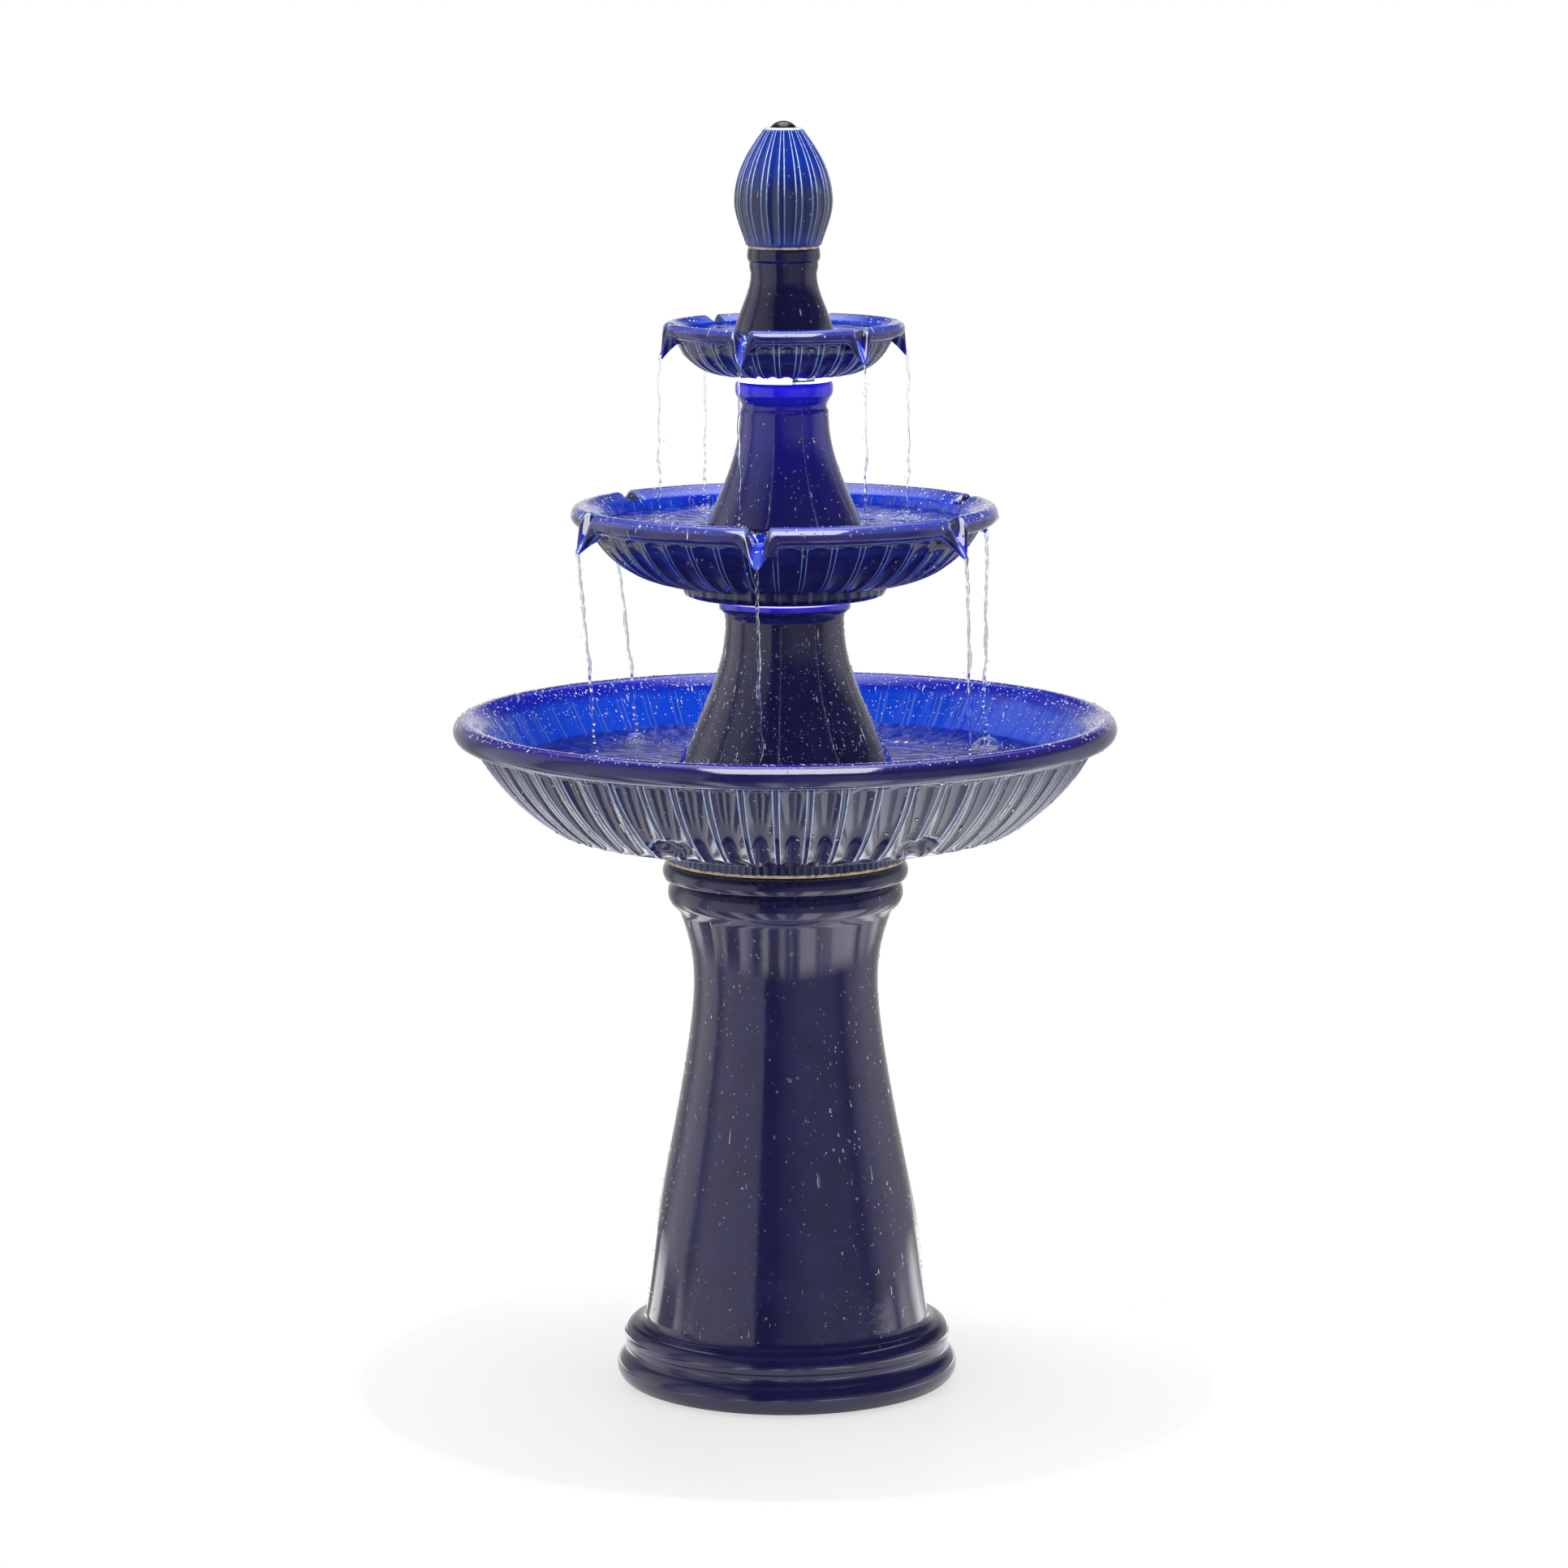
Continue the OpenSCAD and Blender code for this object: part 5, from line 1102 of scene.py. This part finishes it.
def makeSplashes(name, landings, level, rng, bigger):
    # where a stream lands: a bubble or two, a crown of drops and flecks of foam
    def beside(spot, turn, away, height):
        return np.array([spot[0] + away * math.cos(turn), spot[1] + away * math.sin(turn), height])

    domes, flecks = [], []
    for spot in landings:
        for size, away in ((rng.uniform(5, 8) * bigger, 3), (rng.uniform(3, 5), 9), (rng.uniform(2, 3.5), 13),
                           (rng.uniform(1.5, 3), 16), (rng.uniform(1.5, 2.5), 19)):
            place = beside(spot, rng.uniform(0, 2 * math.pi), away, level)
            domes.append(placed(bubble, [size, size, size * 0.8], place))
        for _ in range(falls["splashDrops"]):
            turn, away = rng.uniform(0, 2 * math.pi), abs(rng.normal(0, 8)) + 2
            rise = abs(rng.normal(0, 7)) * math.exp(-away / 22)
            domes.append(placed(drop, rng.uniform(0.4, 1.3), beside(spot, turn, away, level + rise + 0.6)))
        for _ in range(falls["flecks"]):
            turn, away = rng.uniform(0, 2 * math.pi), rng.gamma(2.0, 5.5)
            flecks.append(placed(bead, rng.uniform(0.35, 1.1), beside(spot, turn, away, level + 0.2)))
    meshPiece(name + "_bubbles", *gather(domes), water)
    meshPiece(name + "_foam", *gather(flecks), whiteFlecks)


def shoreLine(line, base, level, shift):
    # the part of a rising line of clay below a level, with the water let into it a little
    heights = line[:, 1] + base
    below = heights < level - 0.5
    shore = np.vstack([np.stack([line[below, 0], heights[below]], axis=1),
                       [(np.interp(level, heights, line[:, 0]), level)]])
    return shore, shore + [shift, 0] - np.where(shore[:, 1:] < level - 0.4, [[0, falls["sunk"]]], 0)


def makePool(name, bowl, stem, level, floor, steps, landings, seed, rings):
    # still water turned to the clay's own shape, then ruffled by rings round each landing stream
    rng = np.random.default_rng(seed)
    sunk = falls["sunk"]
    inner, innerShore = shoreLine(stemSide(stem, 24), baseOf(stem["node"]), level, -sunk)
    outer, outerShore = shoreLine(np.vstack([floor, innerLine(bowl, 24)]), baseOf(bowl["node"]), level, sunk)
    top = evenly([(inner[-1][0] - sunk, level), (outer[-1][0] + sunk, level)], 2.4)
    outline = joined([("pool", top), ("pool", outerShore[:-1][::-1]), ("pool", innerShore[:-1]), ("pool", top[0])])[0]
    piece = turned(name, outline, steps)
    points = pointsOf(piece) / mm
    x, y = points[:, 0], points[:, 1]
    surface = points[:, 2] > level - 0.1
    lift = np.zeros(len(points))
    for spot in landings:
        away = np.hypot(x - spot[0], y - spot[1])
        wave = rng.uniform(8.5, 11.5)
        lift += rings * np.exp(-away / 34) * np.cos(2 * math.pi * away / wave + rng.uniform(0, 6)) * smooth(away / 6)
    for _ in range(5):
        turn, wave = rng.uniform(0, 2 * math.pi), rng.uniform(14, 34)
        along = x * math.cos(turn) + y * math.sin(turn)
        lift += 0.16 * np.sin(2 * math.pi * along / wave + rng.uniform(0, 6))
    points[:, 2] += lift * surface
    setPoints(piece, points * mm)
    finished(piece, "base", poolWater, None, 70)


def makeWater():
    basinLevel, middleLevel, topLevel = falls["basinLevel"], falls["middleLevel"], falls["topLevel"]
    middleFalls = makeStreams("middle_streams", midBowl, basinLevel, falls["drifts"], {"half": 1.7, "whole": 0.74}, 5)
    topFalls = makeStreams("top_streams", topBowl, middleLevel, {}, {"half": 1.15, "whole": 0.86}, 8)
    rng = np.random.default_rng(11)
    makeSplashes("basin_splash", middleFalls, basinLevel, rng, 1.7)
    makeSplashes("middle_splash", topFalls, middleLevel, rng, 0.8)
    floor = [(basin["floorR"] - 6, basin["floorZ"]), (basin["floorR"], basin["floorZ"])]
    makePool("basin_pool", basin, lowerStem, basinLevel, floor, 600, middleFalls, 21, 0.8)
    for name, bowl, stem, level, steps, landings, seed in (
            ("middle_pool", midBowl, midStem, middleLevel, 420, topFalls, 22),
            ("top_pool", topBowl, topStem, topLevel, 240, [], 23)):
        kneeR, kneeZ = bowl["innerKnee"]
        makePool(name, bowl, stem, level, [(kneeR - 3, kneeZ)], steps, landings, seed, 0.4)


makeWater()
print("water running")


# drops: which faces they sit on, from how far a face looks off the axis and how far up
facing = {
    "outside": lambda away, radius, up: away > 0.05 * radius,
    "wetWall": lambda away, radius, up: (away / radius < 0.25) & (up > -0.2),
    "crest": lambda away, radius, up: up > 0.25,
}
# name, piece, how many, seed, faces, lowest and highest, middle and biggest radius
drops = [
    ("pedestal_beads", "pedestal_turned", 2400, 31, "outside", 60, 470, 0.5, 1.8),
    ("lower_stem_beads", "lower_stem_turned", 2600, 32, "outside", 576, 715, 0.48, 1.5),
    ("middle_stem_beads", "middle_stem_turned", 420, 33, "outside", 796, 905, 0.42, 1.3),
    ("top_stem_beads", "top_stem_turned", 160, 34, "outside", 968, 1030, 0.4, 1.0),
    ("basin_beads", "basin_bowl", 900, 35, "outside", 520, 612, 0.75, 2.8),
    ("middle_bowl_beads", "middle_bowl", 500, 36, "outside", 745, 806, 0.85, 2.8),
    ("top_bowl_beads", "top_bowl_fluted", 200, 37, "outside", 935, 971, 0.7, 2.8),
    ("finial_beads", "finial_bud", 150, 38, "outside", 1045, 1130, 0.42, 1.1),
    ("basin_rim_drops", "basin_bowl", 850, 44, "crest", 606, 625, 0.6, 1.6),
    # white specks standing for painted glints of light on drops along the rims
    ("basin_rim_spray", "basin_bowl", 850, 47, "crest", 606, 625, 0.3, 0.7),
    ("middle_rim_drops", "middle_bowl", 500, 45, "crest", 801, 812, 0.5, 1.3),
    ("middle_rim_spray", "middle_bowl", 420, 48, "crest", 801, 812, 0.28, 0.6),
    ("top_rim_drops", "top_bowl_fluted", 260, 46, "crest", 968, 976, 0.4, 0.9),
    # white specks standing for painted glints of light on drops over the wet inner walls
    ("basin_spray", "basin_bowl", 2400, 41, "wetWall", 578, 616, 0.38, 1.0),
    ("middle_spray", "middle_bowl", 700, 42, "wetWall", 794, 808, 0.36, 0.9),
    ("top_spray", "top_bowl_fluted", 120, 43, "wetWall", 965, 973, 0.4, 0.9),
]
widest = 297.6  # drops stay inside the basin's widest ring
spread = 0.42  # how unequal they are
runners = 0.05  # share of drops that have begun to run


def facesOf(piece):
    piece.data.calc_loop_triangles()
    flat = np.empty(len(piece.data.loop_triangles) * 3, dtype=np.int32)
    piece.data.loop_triangles.foreach_get("vertices", flat)
    return flat.reshape(-1, 3)


def makeDrops(name, source, count, seed, faces, low, high, middle, biggest):
    # drops spread by area over a piece's faces and drawn out the way they run down
    rng = np.random.default_rng(seed)
    piece = bpy.data.objects[source]
    points, triangles = pointsOf(piece) / mm, facesOf(piece)
    a, b, c = (points[triangles[:, i]] for i in range(3))
    normal = np.cross(b - a, c - a)
    area = np.linalg.norm(normal, axis=1)
    normal /= np.maximum(area, 1e-9)[:, None]
    x, y, z = ((a + b + c) / 3).T
    radius = np.hypot(x, y)
    kept = facing[faces](x * normal[:, 0] + y * normal[:, 1], radius, normal[:, 2]) & (z > low) & (z < high)
    weight = area * kept * (radius < widest)
    chosen = rng.choice(len(triangles), count, p=weight / weight.sum())
    u, v = rng.random(count), rng.random(count)
    u, v = np.where(u + v > 1, 1 - u, u)[:, None], np.where(u + v > 1, 1 - v, v)[:, None]
    spots = a[chosen] + u * (b - a)[chosen] + v * (c - a)[chosen]
    parts = []
    for spot, up in zip(spots, normal[chosen]):
        size = min(biggest, middle * math.exp(rng.normal(0, spread)))
        down = np.array([0, 0, -1.0]) + up * up[2]
        steep = np.linalg.norm(down)
        down = down / steep if steep > 0.05 else np.cross(up, [1.0, 0, 0])
        stretch = 1 + steep * (rng.uniform(2.5, 7) if rng.random() < runners else rng.uniform(0, 0.6))
        shape = size * (bead[0][:, :1] * np.cross(up, down) + bead[0][:, 1:2] * stretch * down + bead[0][:, 2:] * up)
        parts.append(((shape + spot) * mm, bead[1]))
    # the glint pieces take the white material, as painted glints of light on small drops; the rest are clear water
    meshPiece(name, *gather(parts), whiteFlecks if name.endswith("spray") else water,
              "finial" if source == "finial_bud" else "base")


for row in drops:
    makeDrops(*row)

# the strip is flagged off everything but the bowls and some of the drops
flagged = bpy.data.collections.new("under the strip")
for name in ("basin_bowl", "middle_bowl", "top_bowl_fluted", "basin_rim_drops", "middle_rim_drops", "top_rim_drops",
             "middle_stem_beads", "basin_splash_bubbles", "middle_splash_bubbles"):
    flagged.objects.link(bpy.data.objects[name])
bpy.data.objects["strip"].light_linking.receiver_collection = flagged
print("drops settled")
